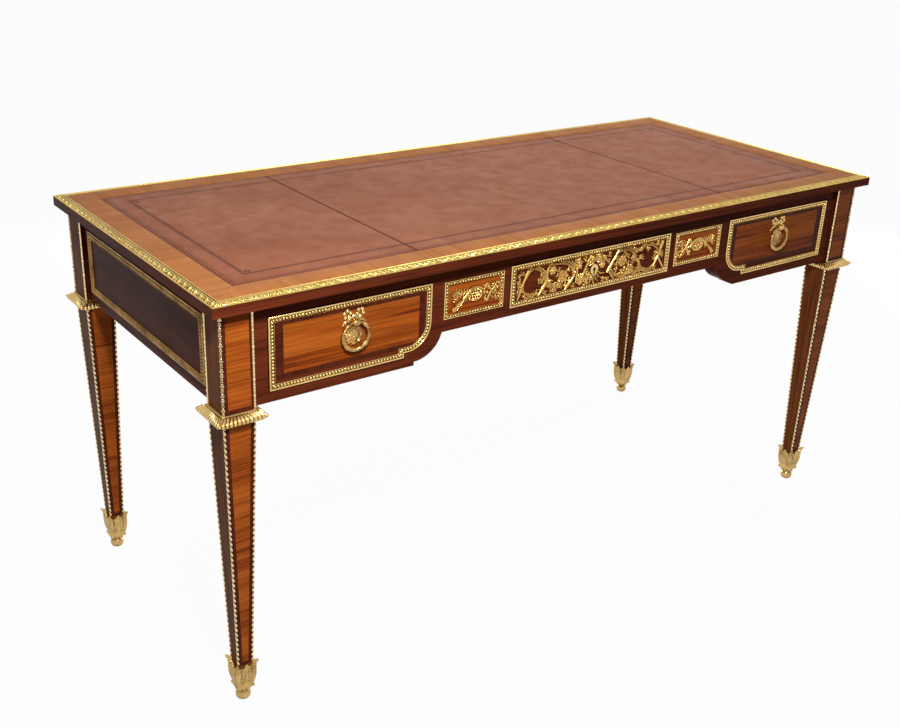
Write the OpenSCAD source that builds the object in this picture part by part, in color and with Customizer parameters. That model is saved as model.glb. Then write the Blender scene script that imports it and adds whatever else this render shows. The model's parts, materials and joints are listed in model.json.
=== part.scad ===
// Writing table with a leather top, three frieze drawers and gilt bronze mounts.
// The origin is on the floor at the middle of the table, +X runs along its length
// and the front faces -Y.

/* [Table] */
// Length of the top, from the left end to the right end
table_l = 1613; // [1560:1:1700]
// Depth of the top, from front to back
table_d = 696; // [660:1:760]
// Height from the floor to the crest of the bronze edge
table_h = 785; // [745:1:825]

/* [Top] */
// Thickness of the wooden slab at its edges
slab_t = 17; // [14:0.5:24]
// How far the field inside the bronze edge stands above the edges of the slab
field_rise = 2.2; // [1:0.1:2.6]
// Width of the bronze moulding that edges the top
edge_w = 17.7; // [14:0.1:24]
// Height of the bronze edge above the edges of the slab
edge_h = 5; // [4.4:0.1:7]
// Bare wood left outside the bronze edge
edge_margin = 1; // [0.5:0.1:4]
// Width of the crossbanded veneer inside the bronze edge
banding_w = 48.7; // [35:0.1:70]
// Thickness of the crossbanded veneer
banding_t = 1.5; // [1:0.1:2]
// Thickness of the leather skins
leather_t = 1.4; // [1:0.1:2]
// Length of the middle leather skin, from seam to seam
leather_mid_l = 770; // [600:1:900]

/* [Legs] */
// Width of the square posts, over their corner strips
post_w = 60; // [54:0.5:68]
// Distance from the edge of the top in to the faces of the posts
post_inset = 18.5; // [16:0.5:26]
// Width of each leg at the top of its sabot, over its strips
ankle_w = 32; // [28:0.5:36]
// Width of the bronze corner strips
strip_w = 5; // [4:0.5:6]
// How far the corner strips stand out from the wood
strip_proud = 1.5; // [0.5:0.1:2.5]

/* [Collars and sabots] */
// Height of the bronze collars
collar_h = 17.5; // [16:0.5:26]
// How far the rim of a collar stands out from the post
collar_out = 14.5; // [8:0.5:15]
// Height of the upright band on the rim of a collar
collar_rim_h = 4; // [2:0.5:6]
// Height of the sloping underside of a collar
collar_under_h = 6; // [4:0.5:9]
// Diameter of the ball under each sabot
ball_d = 24; // [20:0.5:28]
// Width of the flat on which each ball stands
ball_flat = 9; // [6:0.5:12]
// Diameter of the neck between the ball and the cup
neck_d = 15; // [12:0.5:18]
// Height at which the foot moulding of the cup begins
cup_z = 26; // [25:0.5:30]
// Height of the foot moulding of the cup
cup_foot_h = 11; // [8:0.5:14]
// Width of the foot moulding of the cup
cup_foot_w = 30; // [26:0.5:34]
// Width of the cup just above its foot moulding
cup_waist_w = 27; // [24:0.5:30]
// Height from the floor to the mouth of the cup
sabot_h = 84; // [78:0.5:92]
// Width across the mouth of the cup
sabot_w = 43; // [40:0.5:48]
// Height of the flared lip of the cup
sabot_lip_h = 9; // [6:0.5:12]
// Depth of the socket that holds the end of the leg
socket_depth = 24; // [18:0.5:28]

/* [Aprons] */
// Thickness of the aprons
apron_t = 38; // [34:0.5:42]
// How far the aprons lie behind the faces of the posts
apron_back = 9.5; // [8:0.1:11]
// Height of the aprons beside the kneehole and at the ends
apron_h = 175.5; // [164:0.5:190]
// Height of the aprons over the kneehole
knee_apron_h = 124.5; // [116:0.5:130]
// Width of the kneehole between the side blocks
knee_w = 708; // [680:1:740]
// Radius of the rounded lower corner of each side block
block_r = 61; // [54:0.5:66]
// Height of the small step below that rounded corner
block_step_h = 7; // [4:0.5:12]
// Distance from the rounded corner to that small step
block_step_gap = 0.5; // [0.5:0.5:6]
// Thickness of the tenons on the aprons
tenon_t = 12; // [8:0.5:14]
// Length of the tenons on the aprons
tenon_l = 20; // [12:0.5:24]
// Height of the shoulders above and below the tenons
tenon_shoulder = 25; // [15:0.5:35]

/* [Drawer openings] */
// Rail above the side openings
side_rail_top = 25.5; // [22:0.5:32]
// Rail below the side openings
side_rail = 18; // [14:0.5:20]
// Rail between the kneehole and the side openings
side_rail_in = 25.5; // [20:0.5:28]
// Stile between each side opening and its post
side_stile = 26.5; // [20:0.5:32]
// Radius of the rounded lower corner of the side openings
corner_r = 51; // [45:0.5:56]
// Height of the step beside that rounded corner
corner_step_h = 9.5; // [6:0.5:12]
// Distance from the inner side of the opening to that step
corner_step_w = 57; // [56.5:0.5:64]
// Width of the opening for the centre drawer
mid_open_w = 413; // [390:0.5:420]
// Rail above the centre opening
mid_rail_top = 25.5; // [20:0.5:28]
// Rail below the centre opening
mid_rail = 14; // [11:0.5:16]

/* [Drawers] */
// Gap around each drawer front in its opening
front_gap = 1.2; // [0.6:0.1:2]
// Thickness of the drawer fronts
front_t = 20; // [16:0.5:24]
// Length of each drawer, front to back
drawer_l = 500; // [420:1:540]
// Thickness of the drawer sides
side_t = 12; // [9:0.5:15]
// How much narrower the drawer box is than its front, on each side
box_setback = 2; // [1:0.5:4]
// How much lower the drawer sides are than the front
side_drop = 3; // [2:0.5:6]
// Thickness of the drawer backs
back_t = 12; // [9:0.5:15]
// How much lower the drawer backs are than the sides
back_drop = 6; // [3:0.5:12]
// Thickness of the drawer bottoms
bottom_t = 6; // [5:0.5:8]
// Height of the drawer bottoms above the lower edges of the sides
bottom_up = 7; // [5:0.5:10]
// Depth of the grooves that hold the drawer bottoms
groove_d = 5; // [3:0.5:7]
// Running gap between each drawer and its runners
run_gap = 0.3; // [0.2:0.1:0.6]
// Gap between each drawer side and its guide strip
guide_gap = 0.8; // [0.4:0.1:1.5]
// Width of the runners, measured under the drawer sides
runner_w = 20; // [16:0.5:26]
// Thickness of the runners
runner_t = 11; // [8:0.5:12]
// Width of the guide strips
guide_w = 9; // [6:0.5:12]
// Height of the guide strips above the runners
guide_h = 14; // [8:0.5:20]
// Width of the kickers above the drawer sides
kicker_w = 20; // [16:0.5:26]
// Thickness of the partitions beside the kneehole
partition_t = 16; // [12:0.5:17]

/* [Bronze frames] */
// Width of the bronze frames on the drawers and ends
frame_w = 11.5; // [9:0.5:14]
// Width of the raised outer bead of those frames
frame_bead_w = 5; // [3:0.5:7]
// Height of the raised outer bead of those frames
frame_bead_h = 4.5; // [3.5:0.1:6]
// Height of the inner part of those frames
frame_flat_h = 3; // [2:0.1:3.4]
// Gap between each small frame beside the centre drawer and the side opening
small_frame_end_gap = 24.5; // [18:0.5:30]
// Height of the small frames
small_frame_h = 72; // [64:0.5:78]
// Width of the bronze band of the small frames
small_frame_w = 9; // [7:0.5:11]
// Gap between the centre opening and each small frame
small_frame_gap = 14.5; // [9:0.5:17]
// Distance from the slab down to the small frames
small_frame_drop = 30; // [26:0.5:36]
// Distance from each post to the frame on the end apron
end_frame_gap = 18; // [12:0.5:24]
// Distance from the slab down to the end frames
end_frame_drop = 28.5; // [24:0.5:34]
// Height of the end frames
end_frame_h = 126; // [116:0.5:132]
// Width of the bronze band of the end frames
end_frame_w = 14.5; // [11:0.5:17]

/* [Ring pulls] */
// Distance from the top of the opening down to the ring's pivot
pull_drop = 39.5; // [34:0.5:46]
// Diameter of the ring, measured to the middle of its tube
ring_d = 50; // [44:0.5:56]
// Thickness of the ring's tube
ring_tube = 9; // [7:0.5:10]
// Distance from the drawer front out to the middle of the ring
ring_out = 8.5; // [8.5:0.5:12]
// Length of the knuckle that holds the ring
knuckle_l = 14; // [10:0.5:16]
// Diameter of the knuckle
knuckle_d = 13; // [11:0.5:15]
// Diameter of the ring's pin inside the knuckle
ring_pin_d = 5; // [4:0.5:6]
// Clearance around the ring's pin, and at the ends of the knuckle
pin_gap = 0.1; // [0.05:0.01:0.1]
// Gap between the knuckle's ends and the ring
knuckle_end_gap = 0.5; // [0.3:0.1:1]
// Diameter of the rosette inside the ring
rosette_d = 33; // [28:0.5:35]
// Height of the rosette
rosette_h = 7; // [5:0.5:7.5]
// Thickness of the plate behind the pull
plate_t = 3; // [2:0.5:4]
// Width of the ribbon bow over the ring
bow_w = 49; // [40:0.5:54]
// Height of the bow
bow_h = 3.5; // [2.5:0.5:3.5]
// Width of the bow's ribbon
ribbon_w = 6.5; // [5:0.5:8]
// Distance from the knuckle up to the knot of the bow
bow_up = 3; // [0:0.5:5]
// Diameter of the stud that fastens the pull
stud_d = 6; // [4:0.5:7]
// Width of the square nut on the stud
nut_w = 13; // [10:0.5:16]
// Thickness of the square nut
nut_t = 5; // [4:0.5:6]

/* [Centre mount and lock] */
// Height of the scrolling mount on the centre drawer
scroll_h = 5; // [4:0.5:7]
// Thickness of the foliage in the scrolling mount
scroll_t = 6; // [5:0.5:8]
// Diameter of the keyhole
keyhole_d = 7; // [6:0.5:8]
// Width of the slot below the keyhole
key_slot_w = 3; // [2:0.5:4]
// Length of the slot below the keyhole's centre
key_slot_l = 10; // [8:0.5:12]
// Diameter of the keyhole's bronze plate
key_plate_d = 20; // [16:0.5:24]
// Height of the keyhole's bronze plate
key_plate_h = 3; // [2:0.5:4]
// Width of the lock case
lock_w = 60; // [50:0.5:70]
// Depth of the lock case behind the drawer front
lock_depth = 12; // [11:0.5:14]
// How far the lock case reaches below the keyhole
lock_below = 16; // [14:0.5:20]
// Thickness of the lock case's walls
lock_wall = 2.5; // [2:0.5:3]
// Width of the lock bolt
bolt_w = 22; // [16:0.5:28]
// Distance the lock bolt travels
bolt_throw = 8; // [6:0.5:9]
// Gap around the lock bolt
bolt_gap = 0.3; // [0.2:0.05:0.5]

/* [Fasteners and blocks] */
// Diameter of the screws that hold the top
screw_d = 4.5; // [3.5:0.5:6]
// Diameter of the screw heads
screw_head_d = 9; // [7.5:0.5:11]
// Depth to which the screws bite into the slab
screw_bite = 10; // [6:0.5:12]
// Depth of the counterbores below the kickers
screw_sink = 12; // [6:0.5:15]
// Distance of the screws from the middle of the table's depth
screw_y = 180; // [100:1:230]
// Clearance around the screws and studs
screw_gap = 0.1; // [0.05:0.05:0.2]
// Width of the glue blocks in the corners
block_w = 15; // [10:0.5:16]
// Distance from the lower edge of the aprons to the glue blocks
block_up = 50; // [40:0.5:60]
// Distance from the slab down to the glue blocks
block_drop = 10; // [5:0.5:20]

/* [Hidden] */
$fn = 64;
eps = 0.01;

// Heights of the main levels above the floor
slab_top = table_h - edge_h;
slab_z = slab_top - slab_t;
field_z = slab_top + field_rise;
apron_z = slab_z - apron_h;
knee_z = slab_z - knee_apron_h;
collar_z = apron_z - collar_h;

// Half sizes in plan
half_l = table_l / 2;
half_d = table_d / 2;
leg_x = half_l - post_inset - post_w / 2;
leg_y = half_d - post_inset - post_w / 2;
post_in_x = leg_x - post_w / 2;
post_in_y = leg_y - post_w / 2;
face_x = leg_x + post_w / 2 - apron_back;
face_y = leg_y + post_w / 2 - apron_back;
inner_y = face_y - apron_t;
inner_x = face_x - apron_t;
field_x = half_l - edge_margin - edge_w;
field_y = half_d - edge_margin - edge_w;
leather_x = field_x - banding_w;
leather_y = field_y - banding_w;

// Side openings, on the right of the table; the left ones are mirrored
knee_x = knee_w / 2;
open_in = knee_x + side_rail_in;
open_out = post_in_x - side_stile;
open_z0 = apron_z + side_rail;
open_z1 = slab_z - side_rail_top;
open_x = (open_in + open_out) / 2;

// Centre opening
mid_x = mid_open_w / 2;
mid_z0 = knee_z + mid_rail;
mid_z1 = slab_z - mid_rail_top;

// Small frames between the centre opening and the side openings
small_x = mid_x + small_frame_gap;
small_frame_l = open_in - small_frame_end_gap - small_x;
small_z = slab_z - small_frame_drop - small_frame_h;

// Planes of the drawers, measured along Y
front_y = -face_y;
box_y = front_y + front_t;
back_y = front_y + drawer_l;

// Drawer boxes: inner and outer faces along X, lower and upper edges along Z
side_box = [open_in + corner_step_w + front_gap + box_setback,
            open_out - front_gap - box_setback];
side_box_z = [open_z0 + front_gap, open_z1 - front_gap - side_drop];
mid_box = [-mid_x + front_gap + box_setback, mid_x - front_gap - box_setback];
mid_box_z = [mid_z0 + front_gap, mid_z1 - front_gap - side_drop];

// Ring pulls
pivot_z = open_z1 - pull_drop;
ring_y = front_y - ring_out;
ring_half_gap = knuckle_l / 2 + knuckle_end_gap;
ring_drop = sqrt(pow(ring_d / 2, 2) - pow(ring_half_gap, 2));
ring_z = pivot_z - ring_drop;

// Lock: the keyhole is in the middle of the centre drawer's front
key_z = (mid_z0 + mid_z1) / 2;
lock_top = mid_z1 - front_gap;
bolt_t = lock_depth - 2 * (lock_wall + bolt_gap);
bolt_y = box_y + lock_wall + bolt_gap;
bolt_z0 = key_z + keyhole_d / 2 + 1;

// Colours
mahogany = "#4a1c12";
tulipwood = "#a8501c";
tan_veneer = "#b9824e";
hide = "#9a5a3c";
gilt = "#c9a24a";
oak = "#b08a5a";
steel = "#8a8c8f";

// Block between two corners
module block(low, high) {
    translate(low) cube(high - low);
}

// Straight bar of square section whose width and centre may change with height
module taper(c0, w0, z0, c1, w1, z1) {
    function ring(c, w, z) = [for (s = [[-1, -1], [1, -1], [1, 1], [-1, 1]])
        [c[0] + s[0] * w / 2, c[1] + s[1] * w / 2, z]];
    polyhedron(
        points = concat(ring(c0, w0, z0), ring(c1, w1, z1)),
        faces = [[0, 1, 2, 3], [4, 5, 1, 0], [7, 6, 5, 4],
                 [5, 6, 2, 1], [6, 7, 3, 2], [7, 4, 0, 3]]);
}

// Raises a drawing in X and Z by t towards the front of the plane y
module raise(y, t) {
    translate([0, y, 0]) rotate([90, 0, 0]) linear_extrude(height = t) children();
}

// Keeps its children for the right side and mirrors them for the left side
module to_side(side) {
    mirror([side < 0 ? 1 : 0, 0, 0]) children();
}

// Places a leg piece, drawn with +X and +Y pointing outwards
module at_leg(sx, sy) {
    translate([sx * leg_x, sy * leg_y, 0])
        mirror([sx < 0 ? 1 : 0, 0, 0])
            mirror([0, sy < 0 ? 1 : 0, 0])
                children();
}

// Top

module top_board() {
    color(mahogany)
    difference() {
        union() {
            block([-half_l, -half_d, slab_z], [half_l, half_d, slab_top]);
            block([-field_x, -field_y, slab_z], [field_x, field_y, field_z]);
        }
        at_screws() translate([0, 0, slab_z - 1])
            cylinder(d = screw_d + 2 * screw_gap, h = screw_bite + 1.5);
    }
}

// Trapezium that fills one side of a mitred border, seen from above
module mitre(a, b, w) {
    polygon([[-a, -b], [a, -b], [a - w, -b + w], [-a + w, -b + w]]);
}

// Lays a piece drawn for the front along the front, right, back and left;
// $a and $b are half the border's length and depth on that side
module around(a, b) {
    for (i = [0:3]) rotate([0, 0, 90 * i]) {
        $a = i % 2 == 0 ? a : b;
        $b = i % 2 == 0 ? b : a;
        children();
    }
}

module top_edge_moulding() {
    a = half_l - edge_margin;
    b = half_d - edge_margin;
    lip = edge_h * 0.25;
    hollow = edge_h * 0.85;
    color(gilt)
    around(a, b) intersection() {
        translate([0, 0, slab_top]) linear_extrude(height = edge_h) mitre($a, $b, edge_w);
        translate([-$a, -$b, slab_top]) rotate([90, 0, 90]) linear_extrude(height = 2 * $a)
            polygon([[0, 0], [edge_w, 0], [edge_w, hollow], [edge_w * 0.93, edge_h],
                     [edge_w * 0.65, edge_h], [edge_w * 0.6, hollow],
                     [edge_w * 0.45, edge_h], [0, lip]]);
    }
}

module top_banding() {
    color(tan_veneer)
    around(field_x, field_y)
        translate([0, 0, field_z]) linear_extrude(height = banding_t) mitre($a, $b, banding_w);
}

module leather(x0, x1) {
    color(hide)
    block([x0, -leather_y, field_z], [x1, leather_y, field_z + leather_t]);
}
module leather_left() { leather(-leather_x, -leather_mid_l / 2); }
module leather_centre() { leather(-leather_mid_l / 2, leather_mid_l / 2); }
module leather_right() { leather(leather_mid_l / 2, leather_x); }

// Legs and their bronze mounts

// Width of the leg over its strips at height z
function leg_w(z) = ankle_w + (post_w - ankle_w) * (z - sabot_h) / (collar_z - sabot_h);
function wood_w(z) = leg_w(z) - 2 * strip_proud;

// Corner strips of the tapered part
module lower_strips() {
    for (sx = [-1, 1], sy = [-1, 1]) {
        low = (ankle_w - strip_w) / 2;
        high = (post_w - strip_w) / 2;
        taper([sx * low, sy * low], strip_w, sabot_h, [sx * high, sy * high], strip_w, collar_z);
    }
}

// Corner strips of the post, on the three corners that show
module upper_strips() {
    for (s = [[1, 1], [1, -1], [-1, 1]]) {
        c = [s[0] * (post_w - strip_w) / 2, s[1] * (post_w - strip_w) / 2];
        block([c[0] - strip_w / 2, c[1] - strip_w / 2, apron_z],
              [c[0] + strip_w / 2, c[1] + strip_w / 2, slab_z]);
    }
}

// Tenon of the apron that runs along X, in the frame of its leg; it begins inside the apron
module tenon() {
    y = post_w / 2 - apron_back - apron_t / 2;
    block([-(post_w + tenon_t) / 2, y - tenon_t / 2, apron_z + tenon_shoulder],
          [-post_w / 2 + tenon_l, y + tenon_t / 2, slab_z - tenon_shoulder]);
}

module leg(sx, sy) {
    out = post_w / 2 - strip_proud;
    end_z = sabot_h - socket_depth;
    color(tulipwood)
    at_leg(sx, sy) union() {
        difference() {
            block([-post_w / 2, -post_w / 2, apron_z], [out, out, slab_z]);
            upper_strips();
            tenon();
            mirror([1, -1, 0]) tenon();
        }
        block([-out, -out, collar_z], [out, out, apron_z]);
        difference() {
            taper([0, 0], wood_w(end_z), end_z, [0, 0], wood_w(collar_z), collar_z);
            lower_strips();
        }
    }
}
module leg_front_left() { leg(-1, -1); }
module leg_front_right() { leg(1, -1); }
module leg_back_left() { leg(-1, 1); }
module leg_back_right() { leg(1, 1); }

module collar(sx, sy) {
    rim = post_w + 2 * collar_out;
    z1 = collar_z + collar_under_h;
    z2 = z1 + collar_rim_h;
    hole = post_w / 2 - strip_proud;
    color(gilt)
    at_leg(sx, sy) difference() {
        union() {
            taper([0, 0], post_w, collar_z, [0, 0], rim, z1);
            taper([0, 0], rim, z1, [0, 0], rim, z2);
            taper([0, 0], rim, z2, [0, 0], post_w, apron_z);
        }
        block([-hole, -hole, collar_z - 1], [hole, hole, apron_z + 1]);
    }
}
module collar_front_left() { collar(-1, -1); }
module collar_front_right() { collar(1, -1); }
module collar_back_left() { collar(-1, 1); }
module collar_back_right() { collar(1, 1); }

module sabot(sx, sy) {
    end_z = sabot_h - socket_depth;
    ball_z = sqrt(pow(ball_d / 2, 2) - pow(ball_flat / 2, 2));
    foot_top = cup_z + cup_foot_h;
    lip_z = sabot_h - sabot_lip_h;
    lip_w = ankle_w + 4;
    color(gilt)
    at_leg(sx, sy) difference() {
        union() {
            intersection() {
                translate([0, 0, ball_z]) sphere(d = ball_d);
                cylinder(d = ball_d, h = ball_d);
            }
            translate([0, 0, ball_z]) cylinder(d = neck_d, h = cup_z + 1 - ball_z);
            taper([0, 0], neck_d, cup_z, [0, 0], cup_foot_w, cup_z + cup_foot_h * 0.6);
            taper([0, 0], cup_foot_w, cup_z + cup_foot_h * 0.6, [0, 0], cup_foot_w, foot_top);
            taper([0, 0], cup_waist_w, foot_top, [0, 0], lip_w, lip_z);
            taper([0, 0], lip_w, lip_z, [0, 0], sabot_w, sabot_h);
        }
        taper([0, 0], wood_w(end_z), end_z, [0, 0], wood_w(sabot_h + 1), sabot_h + 1);
    }
}
module sabot_front_left() { sabot(-1, -1); }
module sabot_front_right() { sabot(1, -1); }
module sabot_back_left() { sabot(-1, 1); }
module sabot_back_right() { sabot(1, 1); }

module leg_edge_strips() {
    color(gilt)
    for (sx = [-1, 1], sy = [-1, 1]) at_leg(sx, sy) {
        lower_strips();
        upper_strips();
    }
}

// Aprons

// Outline of the long aprons, with the kneehole between two rounded side blocks
module apron_outline() {
    knee_h = knee_z - apron_z;
    corner_h = min(block_r, knee_h - block_step_h);
    difference() {
        translate([-post_in_x, apron_z]) square([2 * post_in_x, apron_h]);
        translate([-knee_x, apron_z - 1]) square([2 * knee_x, knee_h + 1]);
        for (side = [0, 1]) mirror([side, 0]) {
            translate([knee_x - 1, apron_z - 1])
                square([block_r + block_step_gap + 1, block_step_h + 1]);
            difference() {
                translate([knee_x - 1, apron_z + block_step_h]) square([block_r + 1, corner_h]);
                translate([knee_x + block_r, apron_z + block_step_h + block_r]) circle(r = block_r);
            }
        }
    }
}

// Outline of the right side opening, drawn in by c on every side
module side_outline(c) {
    difference() {
        translate([open_in + c, open_z0 + c])
            square([open_out - open_in - 2 * c, open_z1 - open_z0 - 2 * c]);
        translate([open_in - 1, open_z0 - 1]) square([corner_step_w + c + 1, corner_step_h + c + 1]);
        difference() {
            translate([open_in - 1, open_z0 + corner_step_h - 1]) square([corner_r + 1, corner_r + 1]);
            translate([open_in + corner_r, open_z0 + corner_step_h + corner_r]) circle(r = corner_r - c);
        }
    }
}

// Outline of the centre opening, drawn in by c on every side
module mid_outline(c) {
    translate([-mid_x + c, mid_z0 + c]) square([mid_open_w - 2 * c, mid_z1 - mid_z0 - 2 * c]);
}

// Outline of the right small frame, drawn in by c on every side
module small_outline(c) {
    translate([small_x + c, small_z + c]) square([small_frame_l - 2 * c, small_frame_h - 2 * c]);
}

module front_apron() {
    color(mahogany)
    union() {
        difference() {
            raise(-inner_y, apron_t) difference() {
                apron_outline();
                side_outline(0);
                mirror([1, 0]) side_outline(0);
                mid_outline(0);
            }
            block([-bolt_w / 2 - 1, bolt_y - 1, mid_z1 - 1],
                  [bolt_w / 2 + 1, bolt_y + bolt_t + 1, mid_z1 + bolt_throw + 2]);
        }
        for (sx = [-1, 1]) at_leg(sx, -1) tenon();
    }
}

module back_apron() {
    color(mahogany)
    union() {
        raise(face_y, apron_t) apron_outline();
        for (sx = [-1, 1]) at_leg(sx, 1) tenon();
    }
}

module end_apron(side) {
    color(mahogany)
    union() {
        to_side(side) block([inner_x, -post_in_y, apron_z], [face_x, post_in_y, slab_z]);
        for (sy = [-1, 1]) at_leg(side, sy) mirror([1, -1, 0]) tenon();
    }
}
module end_apron_left() { end_apron(-1); }
module end_apron_right() { end_apron(1); }

// Bronze frames

// Frame with a raised outer bead; draws the child between the insets c0 and c1
module end_outline(c) {
    y = post_in_y - end_frame_gap - c;
    z1 = slab_z - end_frame_drop - c;
    translate([-y, z1 + 2 * c - end_frame_h]) square([2 * y, end_frame_h - 2 * c]);
}

module end_frame(side) {
    color(gilt)
    to_side(side) translate([face_x, 0, 0]) rotate([90, 0, 90]) {
        linear_extrude(height = frame_bead_h) difference() {
            end_outline(0);
            end_outline(frame_bead_w * end_frame_w / frame_w);
        }
        linear_extrude(height = frame_flat_h) difference() {
            end_outline(0);
            end_outline(end_frame_w);
        }
    }
}
module end_frame_left() { end_frame(-1); }
module end_frame_right() { end_frame(1); }

module side_frame(y) {
    raise(y, frame_bead_h) difference() {
        side_outline(front_gap);
        side_outline(front_gap + frame_bead_w);
    }
    raise(y, frame_flat_h) difference() {
        side_outline(front_gap);
        side_outline(front_gap + frame_w);
    }
}

module mid_frame(y) {
    raise(y, frame_bead_h) difference() {
        mid_outline(front_gap);
        mid_outline(front_gap + frame_bead_w);
    }
    raise(y, frame_flat_h) difference() {
        mid_outline(front_gap);
        mid_outline(front_gap + frame_w);
    }
}

module small_frame(y) {
    raise(y, frame_bead_h) difference() {
        small_outline(0);
        small_outline(frame_bead_w * small_frame_w / frame_w);
    }
    raise(y, frame_flat_h) difference() {
        small_outline(0);
        small_outline(small_frame_w);
    }
}

module back_frames() {
    color(gilt)
    rotate([0, 0, 180]) {
        mid_frame(-face_y);
        for (side = [-1, 1]) to_side(side) {
            side_frame(-face_y);
            small_frame(-face_y);
        }
    }
}

module small_frames() {
    color(gilt)
    for (side = [-1, 1]) to_side(side) small_frame(front_y);
}

// Bar with round ends between two points of a drawing
module stroke(p, q, w) {
    d = q - p;
    translate(p) rotate(atan2(d[1], d[0])) {
        translate([0, -w / 2]) square([norm(d), w]);
        circle(d = w, $fn = 24);
        translate([norm(d), 0]) circle(d = w, $fn = 24);
    }
}

// Crossed staffs, a medallion and two knots in each small frame
module small_mounts() {
    cx = small_x + small_frame_l / 2;
    cz = small_z + small_frame_h / 2;
    reach = [small_frame_l / 2 - small_frame_w - scroll_t, small_frame_h / 2 - small_frame_w - scroll_t];
    color(gilt)
    for (side = [-1, 1]) to_side(side) raise(front_y, scroll_h) translate([cx, cz]) {
        for (s = [-1, 1]) {
            stroke([-reach[0], -s * reach[1] * 0.6], [reach[0], s * reach[1] * 0.6], scroll_t);
            stroke([0, 0], [0, s * reach[1] * 0.8], scroll_t);
            translate([s * reach[0] * 0.6, 0]) circle(r = reach[1] * 0.5);
        }
        circle(r = reach[1] * 0.75);
    }
}

// Inner carcass

module partition(side) {
    color(oak)
    to_side(side) block([open_in - partition_t, -inner_y, knee_z], [open_in, inner_y, slab_z]);
}
module partition_left() { partition(-1); }
module partition_right() { partition(1); }

// Runner with a guide strip; the drawer side's outer face is at x, dir points away from it
module runner(x, dir, z) {
    top = z - run_gap;
    gx = x + dir * guide_gap;
    xs = [x - dir * runner_w, gx + dir * guide_w];
    block([min(xs), -inner_y, top - runner_t], [max(xs), inner_y, top]);
    block([min(gx, xs[1]), -inner_y, top - eps], [max(gx, xs[1]), inner_y, top + guide_h]);
}

module drawer_runners() {
    color(oak)
    for (side = [-1, 1]) to_side(side) {
        runner(side_box[0], -1, side_box_z[0]);
        runner(side_box[1], 1, side_box_z[0]);
        runner(mid_box[1], 1, mid_box_z[0]);
    }
}

// Middles of the right kickers along X, with the height of their lower faces
kickers = [[side_box[0] + kicker_w / 2, side_box_z[1] + run_gap],
           [side_box[1] - kicker_w / 2, side_box_z[1] + run_gap],
           [mid_box[1] - kicker_w / 2, mid_box_z[1] + run_gap]];

// Places a child above each screw, at the floor
module at_screws() {
    for (side = [-1, 1], k = kickers, s = [-1, 1])
        translate([side * k[0], s * screw_y, 0]) children();
}

module drawer_kickers() {
    color(oak)
    difference() {
        for (side = [-1, 1], k = kickers) to_side(side)
            block([k[0] - kicker_w / 2, -inner_y, k[1]], [k[0] + kicker_w / 2, inner_y, slab_z]);
        for (side = [-1, 1], k = kickers, s = [-1, 1]) translate([side * k[0], s * screw_y, 0]) {
            cylinder(d = screw_d + 2 * screw_gap, h = slab_z + 1);
            cylinder(d = screw_head_d + 2 * screw_gap, h = k[1] + screw_sink);
        }
    }
}

module top_screws() {
    head_h = 3;
    color(steel)
    for (side = [-1, 1], k = kickers, s = [-1, 1])
        translate([side * k[0], s * screw_y, k[1] + screw_sink - head_h]) {
            cylinder(d = screw_head_d, h = head_h);
            cylinder(d = screw_d, h = slab_z + screw_bite - (k[1] + screw_sink - head_h));
        }
}

module corner_blocks() {
    z0 = apron_z + block_up;
    z1 = slab_z - block_drop;
    color(oak)
    for (sx = [-1, 1], sy = [-1, 1]) mirror([sx < 0 ? 1 : 0, 0, 0]) mirror([0, sy < 0 ? 1 : 0, 0]) {
        block([post_in_x - block_w, post_in_y, z0], [post_in_x, inner_y, z1]);
        block([post_in_x, post_in_y - block_w, z0], [inner_x, post_in_y, z1]);
    }
}

// Drawer boxes; xs and zs are the outer faces and the edges of the sides

module box_sides(xs, zs) {
    color(oak)
    difference() {
        union() {
            block([xs[0], box_y, zs[0]], [xs[0] + side_t, back_y, zs[1]]);
            block([xs[1] - side_t, box_y, zs[0]], [xs[1], back_y, zs[1]]);
        }
        block([xs[0] + side_t - groove_d, box_y - 1, zs[0] + bottom_up],
              [xs[1] - side_t + groove_d, back_y + 1, zs[0] + bottom_up + bottom_t]);
    }
}

module box_back(xs, zs) {
    color(oak)
    block([xs[0] + side_t, back_y - back_t, zs[0] + bottom_up + bottom_t],
          [xs[1] - side_t, back_y, zs[1] - back_drop]);
}

module box_bottom(xs, zs) {
    play = 0.2;
    color(oak)
    block([xs[0] + side_t - groove_d + play, box_y - groove_d + play, zs[0] + bottom_up],
          [xs[1] - side_t + groove_d - play, back_y, zs[0] + bottom_up + bottom_t]);
}

// Groove in the back of a drawer front for the edge of the bottom
module front_groove(xs, zs) {
    block([xs[0] + side_t - groove_d, box_y - groove_d, zs[0] + bottom_up],
          [xs[1] - side_t + groove_d, box_y + 1, zs[0] + bottom_up + bottom_t]);
}

module side_front(side) {
    color(tulipwood)
    to_side(side) difference() {
        raise(box_y, front_t) side_outline(front_gap);
        front_groove(side_box, side_box_z);
        translate([open_x, 0, ring_z]) rotate([90, 0, 0])
            cylinder(d = stud_d + 2 * screw_gap, h = 2 * half_d);
    }
}
module drawer_front_left() { side_front(-1); }
module drawer_front_right() { side_front(1); }
module drawer_sides_left() { to_side(-1) box_sides(side_box, side_box_z); }
module drawer_sides_right() { to_side(1) box_sides(side_box, side_box_z); }
module drawer_back_left() { to_side(-1) box_back(side_box, side_box_z); }
module drawer_back_right() { to_side(1) box_back(side_box, side_box_z); }
module drawer_bottom_left() { to_side(-1) box_bottom(side_box, side_box_z); }
module drawer_bottom_right() { to_side(1) box_bottom(side_box, side_box_z); }
module drawer_frame_left() { color(gilt) to_side(-1) side_frame(front_y); }
module drawer_frame_right() { color(gilt) to_side(1) side_frame(front_y); }

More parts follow.
